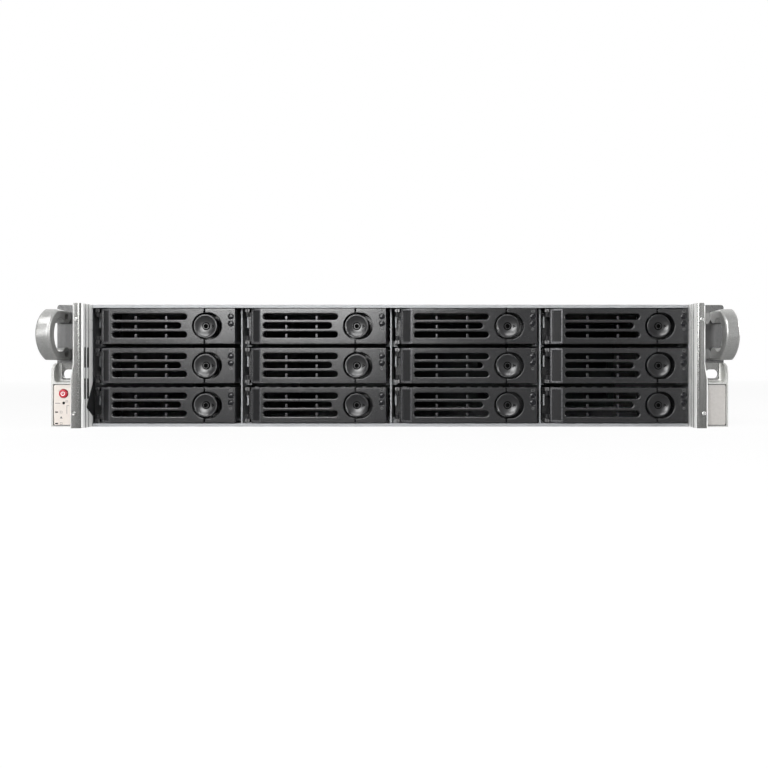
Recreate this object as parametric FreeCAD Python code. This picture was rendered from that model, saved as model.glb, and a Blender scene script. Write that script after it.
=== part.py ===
import FreeCAD, Part
import math
import os

# Rackmount storage expansion unit: a two-unit chassis with twelve drive trays.
# Millimetres. +X is right seen from the front, +Y is to the back, +Z is up.
# The origin is on the underside, at the middle of the overall length and width.

# Rack and chassis
rack_width = 482.6
unit_height = 88.0
flange_width = 22.3
chassis_depth = 515.0
sheet = 1.2
columns = 4
rows = 3

# Front hem of floor and cover
hem_reach = 1.0
hem_depth = 4.5
hem_rise = 1.0
hem_side_gap = 0.4

# Ears
ear_thickness = 2.5
ear_corner_r = 2.0
rail_inner_gap = 2.3
rail_width = 6.9
rail_reach = 13.5
rail_nose_r = 3.0
rail_flare = 1.7
rail_flare_top = 45.0
rail_flare_bend = 34.0
rail_groove_width = 1.8
rail_groove_depth = 0.6
rail_groove_places = (4.5, 8.6)
rail_slot_depth = 2.0
rail_slot_height = 14.5
rail_slot_heights = (49.8, 27.6)
ear_tab_length = 40.0
ear_tab_thickness = 1.6
ear_tab_margin = 6.0
rack_slot_inset = 8.75
rack_slot_rise = 5.1
rack_slot_length = 10.0
rack_slot_width = 6.4

# Handles
handle_reach = 25.0
handle_top_inset = 4.5
handle_height = 35.5
handle_band = 6.0
handle_width = 9.8
handle_bow = 10.5
handle_boss_r = 4.5
handle_boss_depth = 4.5
handle_screw_r = 2.3
handle_screw_sink = 4.0

# Blocks at the foot of the ears
block_width = 16.3
block_reach = 6.5
block_low = 0.4
block_handle_gap = 2.0
block_scoop = 13.0
block_rim = 0.8
gusset_thickness = 2.0
plate_width = 11.4
plate_margin = 1.2
plate_recess = 0.5
power_button_drop = 8.9
power_button_r = 3.0
power_button_length = 3.0
power_button_proud = 0.8
power_button_stem_r = 1.0
power_button_travel = 1.2
power_button_engaged = 1.2
reset_drop = 15.7
reset_r = 1.0
reset_depth = 3.0
control_inset = 8.7

# Bays
divider_thickness = 1.0
divider_front = 4.3
divider_end_gap = 1.0
ledge_width = 3.9
ledge_thickness = 1.0
guide_height = 4.0
guide_gap = 0.35
ledge_front = 14.0

# Tray face
face_side_gap = 6.1
face_row_gap = 3.13
face_reach = 1.7
bezel_width = 21.55
lever_split = 1.1
lever_left = 4.6

# Tray sled
sled_depth = 178.0
sled_side_gap = 5.5
sled_wall = 0.8
sled_wall_height = 14.0
runner_gap = 0.3
bulkhead_front = 12.0
bulkhead_thickness = 2.0
bulkhead_window_left = 13.0
bulkhead_window_end = 32.8
bulkhead_window_rim = 3.2
strap_depth = 10.0

# Lever
lever_thickness = 3.5
lever_rim_depth = 5.0
lever_rim_thickness = 1.5
lever_rim_left = 12.0
slope_right = 12.5
slope_drop = 4.0
slope_back = 4.5
slope_heel = 13.5
grip_left = 5.4
grip_right = 10.6
grip_rim = 1.3
grip_depth = 0.8
vent_left = 14.1
vent_end = 34.9
vent_middle_short = 4.3
vent_height = 4.3
vent_pitch = 6.45
vent_middle_rise = 0.35

# Lever hinge
hinge_x = 1.8
hinge_y = 3.0
hinge_pin_r = 1.0
hinge_barrel_r = 1.5
hinge_web = 1.2
post_left = 0.2
post_right = 3.4
post_front = 1.4
post_height = 2.4
pin_clearance = 0.06
pin_end_gap = 0.4
hinge_end_gap = 0.3

# Release button on the lever
disc_inset = 21.2
disc_r = 8.4
disc_gap = 1.2
disc_relief = 2.0
disc_proud = 0.5
disc_edge = 3.4
disc_dish = 1.6
disc_key_r = 2.1
disc_key_depth = 1.4
disc_stem_r = 2.5
carrier_front = 6.0
carrier_thickness = 1.5
carrier_side = 12.6
carrier_reach = 7.0
carrier_half = 6.0
disc_travel = 2.0

# Backplane
backplane_gap = 12.0
backplane_thickness = 3.0
board_edge_gap = 0.3
drive_socket_width = 42.0
drive_socket_height = 7.0
drive_socket_depth = 8.0
drive_socket_place = 42.0
backplane_vent_width = 26.0
backplane_vent_height = 9.0
backplane_vent_inset = 7.0

# Covers
cover_overlap = 15.0
cover_seam = 0.4
cover_lip = 12.0
cover_lip_thickness = 1.0
wall_flange = 8.0

# Fan wall
fan_count = 3
fan_gap = 32.0
fan_margin = 4.4
fan_depth = 38.0
fan_pitch = 110.0
fan_bore_wall = 1.8
fan_strut = 5.0
fan_motor_r = 17.0
fan_motor_depth = 8.0
rotor_tip_gap = 1.2
rotor_hub_r = 16.5
rotor_depth = 20.0
rotor_gap = 0.4
rotor_blades = 5
blade_thickness = 1.6
blade_pitch = 40.0
rotor_shaft_r = 2.0
rotor_shaft_length = 6.0
shaft_clearance = 0.06

# Power supplies
psu_width = 73.5
psu_top_gap = 1.5
psu_length = 185.0
psu_gap = 0.5
psu_seat_gap = 0.3
psu_handle_reach = 22.0
psu_handle_bar = 3.0
psu_handle_width = 12.0
psu_handle_span = 30.0
psu_handle_left = 3.0
inlet_width = 24.0
inlet_height = 17.0
inlet_depth = 16.0
inlet_right = 10.0
inlet_pin_length = 11.0
inlet_pin_width = 2.0
inlet_pin_height = 4.0
inlet_pin_pitch = 6.7
inlet_pin_rise = 5.1
inlet_earth_rise = 10.2
psu_vent_width = 19.0
psu_vent_height = 2.2
psu_vent_pitch = 4.4
psu_vent_count = 7
psu_vent_depth = 6.0
latch_width = 4.0
latch_height = 12.0
latch_depth = 10.0
latch_reach = 8.0
latch_travel = 2.5
latch_gap = 0.3
power_board_thickness = 2.0

# Expander board
board_width = 180.0
board_depth = 170.0
board_thickness = 1.6
board_rise = 6.0
board_left = -150.0
standoff_r = 3.0
standoff_inset = 8.0
port_count = 2
port_left = 20.0
port_pitch = 60.0
port_width = 40.0
port_height = 13.0
port_depth = 40.0
port_socket_width = 16.5
port_socket_height = 9.0
port_socket_depth = 30.0
port_wall = 2.0
port_proud = 0.8
port_gap = 0.4
heatsink_width = 50.0
heatsink_depth = 45.0
heatsink_base = 3.0
heatsink_fin = 1.4
heatsink_fins = 8
heatsink_height = 18.0

# Rear panel vents
rear_vent_width = 3.0
rear_vent_height = 34.0
rear_vent_pitch = 9.0
rear_vent_count = 12
rear_vent_low = 40.0
rear_vent_left = -190.0

# Slide rail holes in the side walls
rail_hole_r = 2.2
rail_hole_height = 44.0
rail_hole_pitch = 200.0
rail_hole_inset = 35.0
rail_hole_count = 2

# Screws
screw_r = 2.6
screw_head = 1.3
ear_screw_heights = (18.0, 70.0)
ear_screw_depth = 24.0
rear_screw_inset = 8.0

# Places worked out from the sizes above
overall_depth = handle_reach + chassis_depth + psu_handle_reach
rack_y = handle_reach - overall_depth / 2
rear_y = rack_y + chassis_depth
chassis_width = rack_width - 2 * flange_width
half_chassis = chassis_width / 2
rail_hole_first = chassis_depth - rail_hole_inset - rail_hole_pitch * (rail_hole_count - 1)
half_inside = half_chassis - sheet
half_rack = rack_width / 2
wall_top = unit_height - sheet
column_pitch = 2 * half_inside / columns
row_pitch = (wall_top - sheet) / rows
face_width = column_pitch - face_side_gap
face_height = row_pitch - face_row_gap
half_face = face_height / 2
sled_width = column_pitch - sled_side_gap
bezel_left = face_width - bezel_width
bulkhead_window_right = face_width - bulkhead_window_end
bulkhead_window_height = face_height - 2 * bulkhead_window_rim
disc_x = face_width - disc_inset
carrier_left = disc_x - carrier_side
vent_right = face_width - vent_end
vent_middle_right = vent_right - vent_middle_short
grip_height = face_height - 2 * grip_rim
backplane_front = sled_depth + backplane_gap
cover_split = backplane_front + cover_overlap
fan_front = backplane_front + fan_gap
fan_size = wall_top - 2 * sheet - fan_margin
fan_bore_r = fan_size / 2 - fan_bore_wall
rotor_r = fan_bore_r - rotor_tip_gap
handle_high = unit_height - handle_top_inset
handle_low = handle_high - handle_height
block_top = handle_low - block_handle_gap
block_front_top = block_top - block_scoop
power_button_height = block_front_top - power_button_drop
reset_height = block_front_top - reset_drop
rack_slot_x = half_rack - rack_slot_inset
rack_slot_height = block_front_top + rack_slot_rise
rail_inner = half_inside - rail_inner_gap
rail_outer = rail_inner + rail_width
lever_right = bezel_left - lever_split
lever_back = lever_thickness - face_reach
hole_r = disc_r + disc_gap
carrier_back = carrier_front + carrier_thickness
psu_bay_width = psu_width + 2 * psu_gap
psu_wall_x = half_inside - psu_bay_width
psu_bay_height = (wall_top - 2 * sheet - sheet) / 2
shelf_z = sheet + psu_bay_height
psu_height = psu_bay_height - psu_seat_gap - psu_top_gap


def vector(x, y, z):
    return FreeCAD.Vector(x, y, z)


def box(x0, x1, y0, y1, z0, z1):
    return Part.makeBox(x1 - x0, y1 - y0, z1 - z0, vector(x0, y0, z0))


def rod(r, start, end):
    direction = end - start
    return Part.makeCylinder(r, direction.Length, start, direction)


def prism(points, along):
    """A straight extrusion of a closed outline of points."""
    outline = Part.makePolygon(points + points[:1])
    return Part.Face(outline).extrude(along)


def moved(shape, x, y, z):
    shape = shape.copy()
    shape.translate(vector(x, y, z))
    return shape


def mirrored(shape):
    """The left-hand copy of a piece that was drawn for the right side."""
    return shape.mirror(vector(0, 0, 0), vector(1, 0, 0))


def joined(first, others):
    return first.multiFuse(others).removeSplitter()


def across_slot(x0, x1, z, height, y0, y1):
    """A cutter for a level slot with round ends, running from y0 to y1."""
    r = height / 2
    ends = []
    for x in (x0 + r, x1 - r):
        ends.append(rod(r, vector(x, y0, z), vector(x, y1, z)))
    return joined(box(x0 + r, x1 - r, y0, y1, z - r, z + r), ends)


def save(name, shape):
    shape.exportStep("parts/" + name + ".step")


def column_x(column):
    return -half_inside + (column + 0.5) * column_pitch


def row_z(row):
    return sheet + (row + 0.5) * row_pitch


# Chassis base: floor, side walls, hemmed front edge, top flanges behind the bays

def chassis_base():
    outline = [
        vector(-half_chassis, rack_y, 0),
        vector(half_chassis, rack_y, 0),
        vector(half_chassis, rack_y, wall_top),
        vector(half_inside, rack_y, wall_top),
        vector(half_inside, rack_y, sheet),
        vector(-half_inside, rack_y, sheet),
        vector(-half_inside, rack_y, wall_top),
        vector(-half_chassis, rack_y, wall_top),
    ]
    shell = prism(outline, vector(0, chassis_depth, 0))
    flange_y = rack_y + cover_split
    hem_x = rail_inner - hem_side_gap
    hem_y = rack_y - hem_reach
    extras = [box(-hem_x, hem_x, hem_y, hem_y + hem_depth, 0, sheet + hem_rise)]
    for x in (-half_inside, half_inside - wall_flange):
        extras.append(box(x, x + wall_flange, flange_y, rear_y, wall_top - sheet, wall_top))
    holes = []
    for index in range(rail_hole_count):
        y = rack_y + rail_hole_first + index * rail_hole_pitch
        for x in (-half_chassis, half_inside):
            start = vector(x, y, rail_hole_height)
            holes.append(rod(rail_hole_r, start, start + vector(sheet, 0, 0)))
    return joined(shell, extras).cut(holes)


# Covers

def front_cover():
    plate = box(-half_chassis, half_chassis, rack_y, rack_y + cover_split, wall_top, unit_height)
    hem_x = rail_inner - hem_side_gap
    hem_y = rack_y - hem_reach
    hem = box(-hem_x, hem_x, hem_y, hem_y + hem_depth, wall_top - hem_rise, unit_height)
    return joined(plate, [hem])


def top_cover():
    front = rack_y + cover_split + cover_seam
    low = unit_height - cover_lip
    plate = box(-half_chassis, half_chassis, front, rear_y, wall_top, unit_height)
    lips = []
    for x in (-half_chassis - cover_lip_thickness, half_chassis):
        lips.append(box(x, x + cover_lip_thickness, front, rear_y, low, unit_height))
    return joined(plate, lips)


# Bay dividers: five upright sheets with runner ledges, the outer two half as thick

def runner(side, z):
    """An L-shaped runner on the +X or -X face of a divider that stands at x = 0."""
    guide = (column_pitch - sled_width) / 2 - guide_gap
    face = divider_thickness / 2
    front = rack_y + ledge_front
    back = rack_y + sled_depth
    outline = [
        vector(face, front, z),
        vector(face + ledge_width, front, z),
        vector(face + ledge_width, front, z + ledge_thickness),
        vector(guide, front, z + ledge_thickness),
        vector(guide, front, z + guide_height),
        vector(face, front, z + guide_height),
    ]
    piece = prism(outline, vector(0, back - front, 0))
    return piece if side > 0 else mirrored(piece)


def bay_dividers():
    front = rack_y + divider_front
    back = rack_y + backplane_front - divider_end_gap
    half = divider_thickness / 2
    sheets = []
    for index in range(columns + 1):
        low = 0 if index == 0 else -half
        high = 0 if index == columns else half
        upright = box(low, high, front, back, sheet, wall_top)
        ledges = []
        for row in range(rows):
            z = sheet + row * row_pitch
            if index < columns:
                ledges.append(runner(1, z))
            if index > 0:
                ledges.append(runner(-1, z))
        divider = joined(upright, ledges)
        sheets.append(moved(divider, -half_inside + index * column_pitch, 0, 0))
    return Part.makeCompound(sheets)


# Trays. Tray pieces are drawn with x from the left edge of the face, y from the
# rack plane and z from the middle of the face, and then put in their bay.

def in_bay(shape, column, row):
    return moved(shape, column_x(column) - face_width / 2, rack_y, row_z(row))


def disc_hole(y0, y1, relief):
    start = vector(disc_x, y0, 0)
    hole = rod(hole_r, start, vector(disc_x, y1, 0))
    if relief == 0:
        return hole
    far = moved(hole, relief, 0, 0)
    return joined(hole, [box(disc_x, disc_x + relief, y0, y1, -hole_r, hole_r), far])


def hinge_post(sign):
    low = half_face - post_height
    post = box(post_left, post_right, post_front, bulkhead_front, low, half_face)
    post = post.cut(rod(hinge_pin_r + pin_clearance, vector(hinge_x, hinge_y, low),
                        vector(hinge_x, hinge_y, half_face)))
    return post if sign > 0 else post.mirror(vector(0, 0, 0), vector(0, 0, 1))


def tray_bezel():
    """The fixed right end of the face, with the pocket that the button swings out of."""
    block = box(bezel_left, face_width, -face_reach, bulkhead_front, -half_face, half_face)
    return block.cut(disc_hole(-face_reach, bulkhead_front, disc_relief))


def tray_bulkhead():
    """The frame behind the face, with the hinge posts at its left end."""
    middle = face_width / 2
    half_sled = sled_width / 2
    wall_back = bulkhead_front + bulkhead_thickness
    bulkhead = box(middle - half_sled, middle + half_sled, bulkhead_front, wall_back,
                   -half_face, half_face)
    half_window = bulkhead_window_height / 2
    bulkhead = bulkhead.cut(box(bulkhead_window_left, bulkhead_window_right, bulkhead_front,
                                wall_back, -half_window, half_window))
    return joined(bulkhead, [hinge_post(1), hinge_post(-1)])


def tray():
    """Bezel and bulkhead, with the two side rails and the rear strap of the sled."""
    left = (face_width - sled_width) / 2
    right = left + sled_width
    front = bulkhead_front + bulkhead_thickness
    bottom = -row_pitch / 2 + ledge_thickness + runner_gap
    pieces = [tray_bezel(), tray_bulkhead()]
    for x in (left, right - sled_wall):
        pieces.append(box(x, x + sled_wall, front, sled_depth, bottom, bottom + sled_wall_height))
    pieces.append(box(left + sled_wall, right - sled_wall, sled_depth - strap_depth, sled_depth,
                      bottom, bottom + sled_wall))
    return Part.makeCompound(pieces)


# Lever: vented face plate with a ramp at the hinge end, hinge barrel, button carrier

def lever_vents():
    cuts = []
    for step in (-1, 0, 1):
        right = vent_middle_right if step == 0 else vent_right
        z = vent_middle_rise + step * vent_pitch
        cuts.append(across_slot(vent_left, right, z, vent_height, -face_reach, lever_back))
    return cuts


def button_carrier():
    """A bracket behind the plate whose floor reaches under the button."""
    wall = box(carrier_left, carrier_left + carrier_thickness, lever_back, carrier_back,
               -carrier_half, carrier_half)
    floor = box(carrier_left, disc_x + carrier_reach, carrier_front, carrier_back,
                -carrier_half, carrier_half)
    bore = rod(disc_stem_r + pin_clearance, vector(disc_x, carrier_front, 0),
               vector(disc_x, carrier_back, 0))
    return joined(wall, [floor]).cut(bore)


def lever_hinge():
    inner = half_face - post_height - hinge_end_gap
    reach = half_face - pin_end_gap
    barrel = rod(hinge_barrel_r, vector(hinge_x, hinge_y, -inner), vector(hinge_x, hinge_y, inner))
    pin = rod(hinge_pin_r, vector(hinge_x, hinge_y, -reach), vector(hinge_x, hinge_y, reach))
    web = box(hinge_x, lever_left, hinge_y - hinge_web / 2, hinge_y + hinge_web / 2, -inner, inner)
    return [barrel, pin, web]


def slope_y(x):
    """Depth of the grip ramp at x: it falls back from the face towards the hinge."""
    return -face_reach + slope_drop * (slope_right - x) / (slope_right - lever_left)


def lever_plate():
    outline = [
        vector(lever_left, slope_y(lever_left), -half_face),
        vector(slope_right, -face_reach, -half_face),
        vector(lever_right, -face_reach, -half_face),
        vector(lever_right, lever_back, -half_face),
        vector(slope_heel, lever_back, -half_face),
        vector(lever_rim_left, slope_back, -half_face),
        vector(lever_left, slope_back, -half_face),
    ]
    grip = [
        vector(grip_left, slope_y(grip_left), -grip_height / 2),
        vector(grip_right, slope_y(grip_right), -grip_height / 2),
        vector(grip_right, slope_y(grip_right) + grip_depth, -grip_height / 2),
        vector(grip_left, slope_y(grip_left) + grip_depth, -grip_height / 2),
    ]
    cuts = lever_vents()
    cuts.append(disc_hole(-face_reach, lever_back, 0))
    cuts.append(prism(grip, vector(0, 0, grip_height)))
    return prism(outline, vector(0, 0, face_height)).cut(cuts)


def lever():
    extras = lever_hinge() + [button_carrier()]
    for low in (-half_face, half_face - lever_rim_thickness):
        extras.append(box(lever_rim_left, carrier_left, lever_back, lever_back + lever_rim_depth,
                          low, low + lever_rim_thickness))
    return joined(lever_plate(), extras)


# Release button: a dished disc on a stem, with a hexagonal key socket

def button():
    front = -face_reach - disc_proud
    outline = [
        vector(0, front + disc_dish, 0),
        vector(disc_r, front, 0),
        vector(disc_r, front + disc_edge, 0),
        vector(disc_stem_r, front + disc_edge, 0),
        vector(disc_stem_r, carrier_back, 0),
        vector(0, carrier_back, 0),
    ]
    profile = Part.Face(Part.makePolygon(outline + outline[:1]))
    body = profile.revolve(vector(0, 0, 0), vector(0, 1, 0), 360)
    key = []
    for corner in range(6):
        angle = math.radians(60 * corner)
        key.append(vector(disc_key_r * math.cos(angle), front, disc_key_r * math.sin(angle)))
    socket = prism(key, vector(0, disc_dish + disc_key_depth, 0))
    return moved(body.cut(socket), disc_x, 0, 0)


# Backplane: board with a drive socket and an air window per bay, power sockets behind

def backplane():
    half = half_inside - divider_thickness / 2 - board_edge_gap
    front = rack_y + backplane_front
    back = front + backplane_thickness
    board = box(-half, half, front, back, sheet + board_edge_gap, wall_top - board_edge_gap)
    windows = []
    sockets = []
    for column in range(columns):
        for row in range(rows):
            x = column_x(column)
            z = row_z(row)
            socket_x = x - column_pitch / 2 + drive_socket_place
            sockets.append(box(socket_x - drive_socket_width / 2, socket_x + drive_socket_width / 2,
                               front - drive_socket_depth, front,
                               z - drive_socket_height / 2, z + drive_socket_height / 2))
            right = x + column_pitch / 2 - backplane_vent_inset
            windows.append(box(right - backplane_vent_width, right, front, back,
                               z - backplane_vent_height / 2, z + backplane_vent_height / 2))
    return joined(board.cut(windows), sockets)


# Fan wall: bracket sheet with three fan housings, and the rotors that turn in them

def fan_x(index):
    return (index - (fan_count - 1) / 2) * fan_pitch


def fan_middle_z():
    return (sheet + wall_top) / 2


def fan_wall():
    front = rack_y + fan_front
    back = front + fan_depth
    z = fan_middle_z()
    half = half_inside - board_edge_gap
    bracket = box(-half, half, front, front + sheet, sheet, wall_top - sheet - board_edge_gap)
    pieces = []
    bores = []
    for index in range(fan_count):
        x = fan_x(index)
        pieces.append(box(x - fan_size / 2, x + fan_size / 2, front, back, z - fan_size / 2, z + fan_size / 2))
        bores.append(rod(fan_bore_r, vector(x, front, z), vector(x, back, z)))
    frame = joined(bracket, pieces).cut(bores)
    return joined(frame, [fan_motor_mount(fan_x(index)) for index in range(fan_count)])


def fan_motor_mount(x):
    """Motor base on two crossed struts at the outlet side, with the shaft's bearing bore."""
    back = rack_y + fan_front + fan_depth
    front = back - fan_motor_depth
    z = fan_middle_z()
    base = rod(fan_motor_r, vector(x, front, z), vector(x, back, z))
    half = fan_strut / 2
    reach = fan_bore_r + half
    level = box(x - reach, x + reach, back - fan_strut, back, z - half, z + half)
    upright = box(x - half, x + half, back - fan_strut, back, z - reach, z + reach)
    bore = rod(rotor_shaft_r + shaft_clearance, vector(x, front, z), vector(x, back, z))
    return joined(base, [level, upright]).cut(bore)


def fan_rotor(index):
    """A cup-shaped hub with pitched blades; its shaft runs in the motor base."""
    x = fan_x(index)
    z = fan_middle_z()
    back = rack_y + fan_front + fan_depth - fan_motor_depth - rotor_gap
    front = back - rotor_depth
    hub = rod(rotor_hub_r, vector(x, front, z), vector(x, back, z))
    shaft = rod(rotor_shaft_r, vector(x, back, z), vector(x, back + rotor_gap + rotor_shaft_length, z))
    chord = (rotor_depth - rotor_gap) / math.cos(math.radians(blade_pitch)) - blade_thickness
    blades = []
    for number in range(rotor_blades):
        blade = box(-blade_thickness / 2, blade_thickness / 2, -chord / 2, chord / 2, rotor_hub_r / 2, rotor_r)
        blade.rotate(vector(0, 0, 0), vector(0, 0, 1), blade_pitch)
        blade.rotate(vector(0, 0, 0), vector(0, 1, 0), 360.0 * number / rotor_blades)
        blades.append(moved(blade, x, (front + back) / 2, z))
    return joined(hub, blades + [shaft])


# Ears, drawn for the right side

def ear_rail():
    """The upright rail ahead of the flange, with a rounded nose and a flared foot."""
    front = rack_y - rail_reach
    shoulder = front + rail_nose_r
    nose = Part.Arc(vector(rail_inner, shoulder, 0), vector((rail_inner + rail_outer) / 2, front, 0),
                    vector(rail_outer, shoulder, 0)).toShape()
    sides = Part.makePolygon([vector(rail_outer, shoulder, 0), vector(rail_outer, rack_y, 0),
                              vector(rail_inner, rack_y, 0), vector(rail_inner, shoulder, 0)])
    rail = Part.Face(Part.Wire([nose] + sides.Edges)).extrude(vector(0, 0, unit_height))
    flare = [
        vector(rail_outer, shoulder, 0),
        vector(rail_outer + rail_flare, shoulder, 0),
        vector(rail_outer + rail_flare, shoulder, rail_flare_bend),
        vector(rail_outer, shoulder, rail_flare_top),
    ]
    grooves = []
    for place in rail_groove_places:
        y = rack_y - place
        grooves.append(box(rail_inner, rail_inner + rail_groove_depth,
                           y - rail_groove_width / 2, y + rail_groove_width / 2, 0, unit_height))
    return joined(rail, [prism(flare, vector(0, rack_y - shoulder, 0))]).cut(grooves)


def ear():
    back = rack_y + ear_thickness
    flange = box(half_chassis, half_rack, rack_y, back, 0, unit_height)
    corners = [edge for edge in flange.Edges
               if edge.BoundBox.XMin > half_rack - 0.01 and edge.BoundBox.YLength > ear_thickness / 2]
    flange = flange.makeFillet(ear_corner_r, corners)
    half_slot = rack_slot_length / 2
    flange = flange.cut(across_slot(rack_slot_x - half_slot, rack_slot_x + half_slot, rack_slot_height,
                                    rack_slot_width, rack_y, back))
    tab = box(half_chassis, half_chassis + ear_tab_thickness, back, back + ear_tab_length,
              ear_tab_margin, unit_height - ear_tab_margin)
    return joined(flange, [tab, ear_rail()])


def left_ear():
    """The left rail also has two sunk cable slots in its inner groove."""
    slots = []
    y = rack_y - rail_groove_places[1]
    for height in rail_slot_heights:
        slots.append(box(rail_inner, rail_inner + rail_slot_depth,
                         y - rail_groove_width / 2, y + rail_groove_width / 2,
                         height - rail_slot_height / 2, height + rail_slot_height / 2))
    return mirrored(ear().cut(slots))


# Handles, drawn for the right side

def handle_outline(inset):
    """Bowed D outline from the flange forwards, drawn inset from the outside."""
    low = handle_low + inset
    high = handle_high - inset
    front = rack_y - handle_reach + inset
    shoulder = rack_y - handle_reach + handle_bow
    bow = Part.Arc(vector(0, shoulder, low), vector(0, front, (low + high) / 2),
                   vector(0, shoulder, high)).toShape()
    legs = Part.makePolygon([vector(0, shoulder, high), vector(0, rack_y, high),
                             vector(0, rack_y, low), vector(0, shoulder, low)])
    return Part.Face(Part.Wire([bow] + legs.Edges))


def handle():
    """A cast loop with a screw boss on each leg; the screw holes open to its right."""
    left = half_rack - handle_width
    loop = handle_outline(0).cut(handle_outline(handle_band)).extrude(vector(handle_width, 0, 0))
    loop = moved(loop, left, 0, 0)
    y = rack_y - handle_boss_depth
    bosses = []
    holes = []
    for z in (handle_low + handle_boss_r, handle_high - handle_boss_r):
        bosses.append(rod(handle_boss_r, vector(left, y, z), vector(half_rack, y, z)))
        far = vector(half_rack, y, z)
        holes.append(rod(handle_screw_r, far - vector(handle_screw_sink, 0, 0), far))
    return joined(loop, bosses).cut(holes)


# Blocks at the foot of the ears, drawn for the right side

def gusset():
    """The outer wall of the block, scooped out as it runs up the flange."""
    front = rack_y - block_reach
    lip = rack_y - block_rim
    inner = half_rack - gusset_thickness
    base = Part.makePolygon([vector(inner, lip, block_top), vector(inner, rack_y, block_top),
                             vector(inner, rack_y, block_low), vector(inner, front, block_low),
                             vector(inner, front, block_front_top)])
    rise = block_top - block_front_top
    scoop_r = ((lip - front) ** 2 + rise ** 2) / (2 * (lip - front))
    half_turn = math.asin(rise / scoop_r) / 2
    middle = vector(inner, lip - scoop_r + scoop_r * math.cos(half_turn),
                    block_top - scoop_r * math.sin(half_turn))
    scoop = Part.Arc(vector(inner, front, block_front_top), middle,
                     vector(inner, lip, block_top)).toShape()
    return Part.Face(Part.Wire(base.Edges + [scoop])).extrude(vector(gusset_thickness, 0, 0))


def foot_block():
    front = rack_y - block_reach
    inner = half_rack - block_width
    block = box(inner, half_rack - gusset_thickness, front, rack_y, block_low, block_front_top)
    block = joined(block, [gusset()])
    right = half_rack - plate_margin
    plate = box(right - plate_width, right, front, front + plate_recess,
                block_low + plate_margin, block_front_top - plate_margin)
    return block.cut(plate)


def control_place():
    return vector(half_rack - control_inset, rack_y - block_reach, power_button_height)


def control_block():
    """The left block: the power button's pocket and stem bore, and the reset pinhole."""
    button_at = control_place()
    depth = power_button_length - power_button_proud + power_button_travel + hinge_end_gap
    seat = button_at + vector(0, depth, 0)
    pocket = rod(power_button_r + hinge_end_gap, button_at, seat)
    bore = rod(power_button_stem_r + pin_clearance, seat, seat + vector(0, block_reach - depth, 0))
    reset = vector(half_rack - control_inset, button_at.y, reset_height)
    pinhole = rod(reset_r, reset, reset + vector(0, reset_depth, 0))
    return mirrored(foot_block().cut([pocket, bore, pinhole]))


def power_button():
    front = control_place() - vector(0, power_button_proud, 0)
    back = front + vector(0, power_button_length, 0)
    cap = rod(power_button_r, front, back)
    reach = power_button_travel + hinge_end_gap + power_button_engaged
    stem = rod(power_button_stem_r, back, back + vector(0, reach, 0))
    return mirrored(joined(cap, [stem]))


# Rear panel, with the power supply bay left open beside it

def port_x(index):
    return board_left + port_left + index * port_pitch


def port_z():
    return sheet + board_rise + board_thickness


def rear_panel():
    front = rear_y - sheet
    panel = box(-half_inside, psu_wall_x - sheet, front, rear_y, sheet, wall_top - sheet)
    cuts = []
    for index in range(port_count):
        x = port_x(index)
        cuts.append(box(x - port_gap, x + port_width + port_gap, front, rear_y,
                        port_z() - port_gap, port_z() + port_height + port_gap))
    for index in range(rear_vent_count):
        x = rear_vent_left + index * rear_vent_pitch
        cuts.append(box(x, x + rear_vent_width, front, rear_y, rear_vent_low, rear_vent_low + rear_vent_height))
        far = x + rear_vent_count * rear_vent_pitch + rear_vent_pitch
        cuts.append(box(far, far + rear_vent_width, front, rear_y, rear_vent_low,
                        rear_vent_low + rear_vent_height))
    return panel.cut(cuts)


# Expander board: board on standoffs, finned heat sink, port cages through the rear panel

def port_cage(x):
    back = rear_y + port_proud
    z = port_z()
    cage = box(x, x + port_width, back - port_depth, back, z, z + port_height)
    middle = x + port_width / 2
    low = z + (port_height - port_socket_height) / 2
    sockets = []
    for left in (middle - port_wall / 2 - port_socket_width, middle + port_wall / 2):
        sockets.append(box(left, left + port_socket_width, back - port_socket_depth, back,
                           low, low + port_socket_height))
    return cage.cut(sockets)


def heat_sink(x, y, z):
    pieces = []
    pitch = (heatsink_width - heatsink_fin) / (heatsink_fins - 1)
    for index in range(heatsink_fins):
        left = x + index * pitch
        pieces.append(box(left, left + heatsink_fin, y, y + heatsink_depth, z, z + heatsink_height))
    return joined(box(x, x + heatsink_width, y, y + heatsink_depth, z, z + heatsink_base), pieces)


def expander_board():
    back = rear_y - sheet - board_edge_gap
    low = sheet + board_rise
    top = low + board_thickness
    card = box(board_left, board_left + board_width, back - board_depth, back, low, top)
    pieces = [port_cage(port_x(index)) for index in range(port_count)]
    pieces.append(heat_sink(board_left + board_width / 2, back - board_depth / 2 - heatsink_depth, top))
    for x in (board_left + standoff_inset, board_left + board_width - standoff_inset):
        for y in (back - board_depth + standoff_inset, back - standoff_inset):
            pieces.append(rod(standoff_r, vector(x, y, sheet), vector(x, y, low)))
    return joined(card, pieces)


# Power supply cage, modules and latches

def psu_cage():
    front = rear_y - psu_length - 2 * psu_gap - power_board_thickness
    side = box(psu_wall_x - sheet, psu_wall_x, front, rear_y, sheet, wall_top - sheet)
    shelf = box(psu_wall_x, half_inside, front, rear_y, shelf_z, shelf_z + sheet)
    board = box(psu_wall_x, half_inside, front, front + power_board_thickness, sheet, wall_top - sheet)
    return joined(side, [shelf, board])


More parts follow.
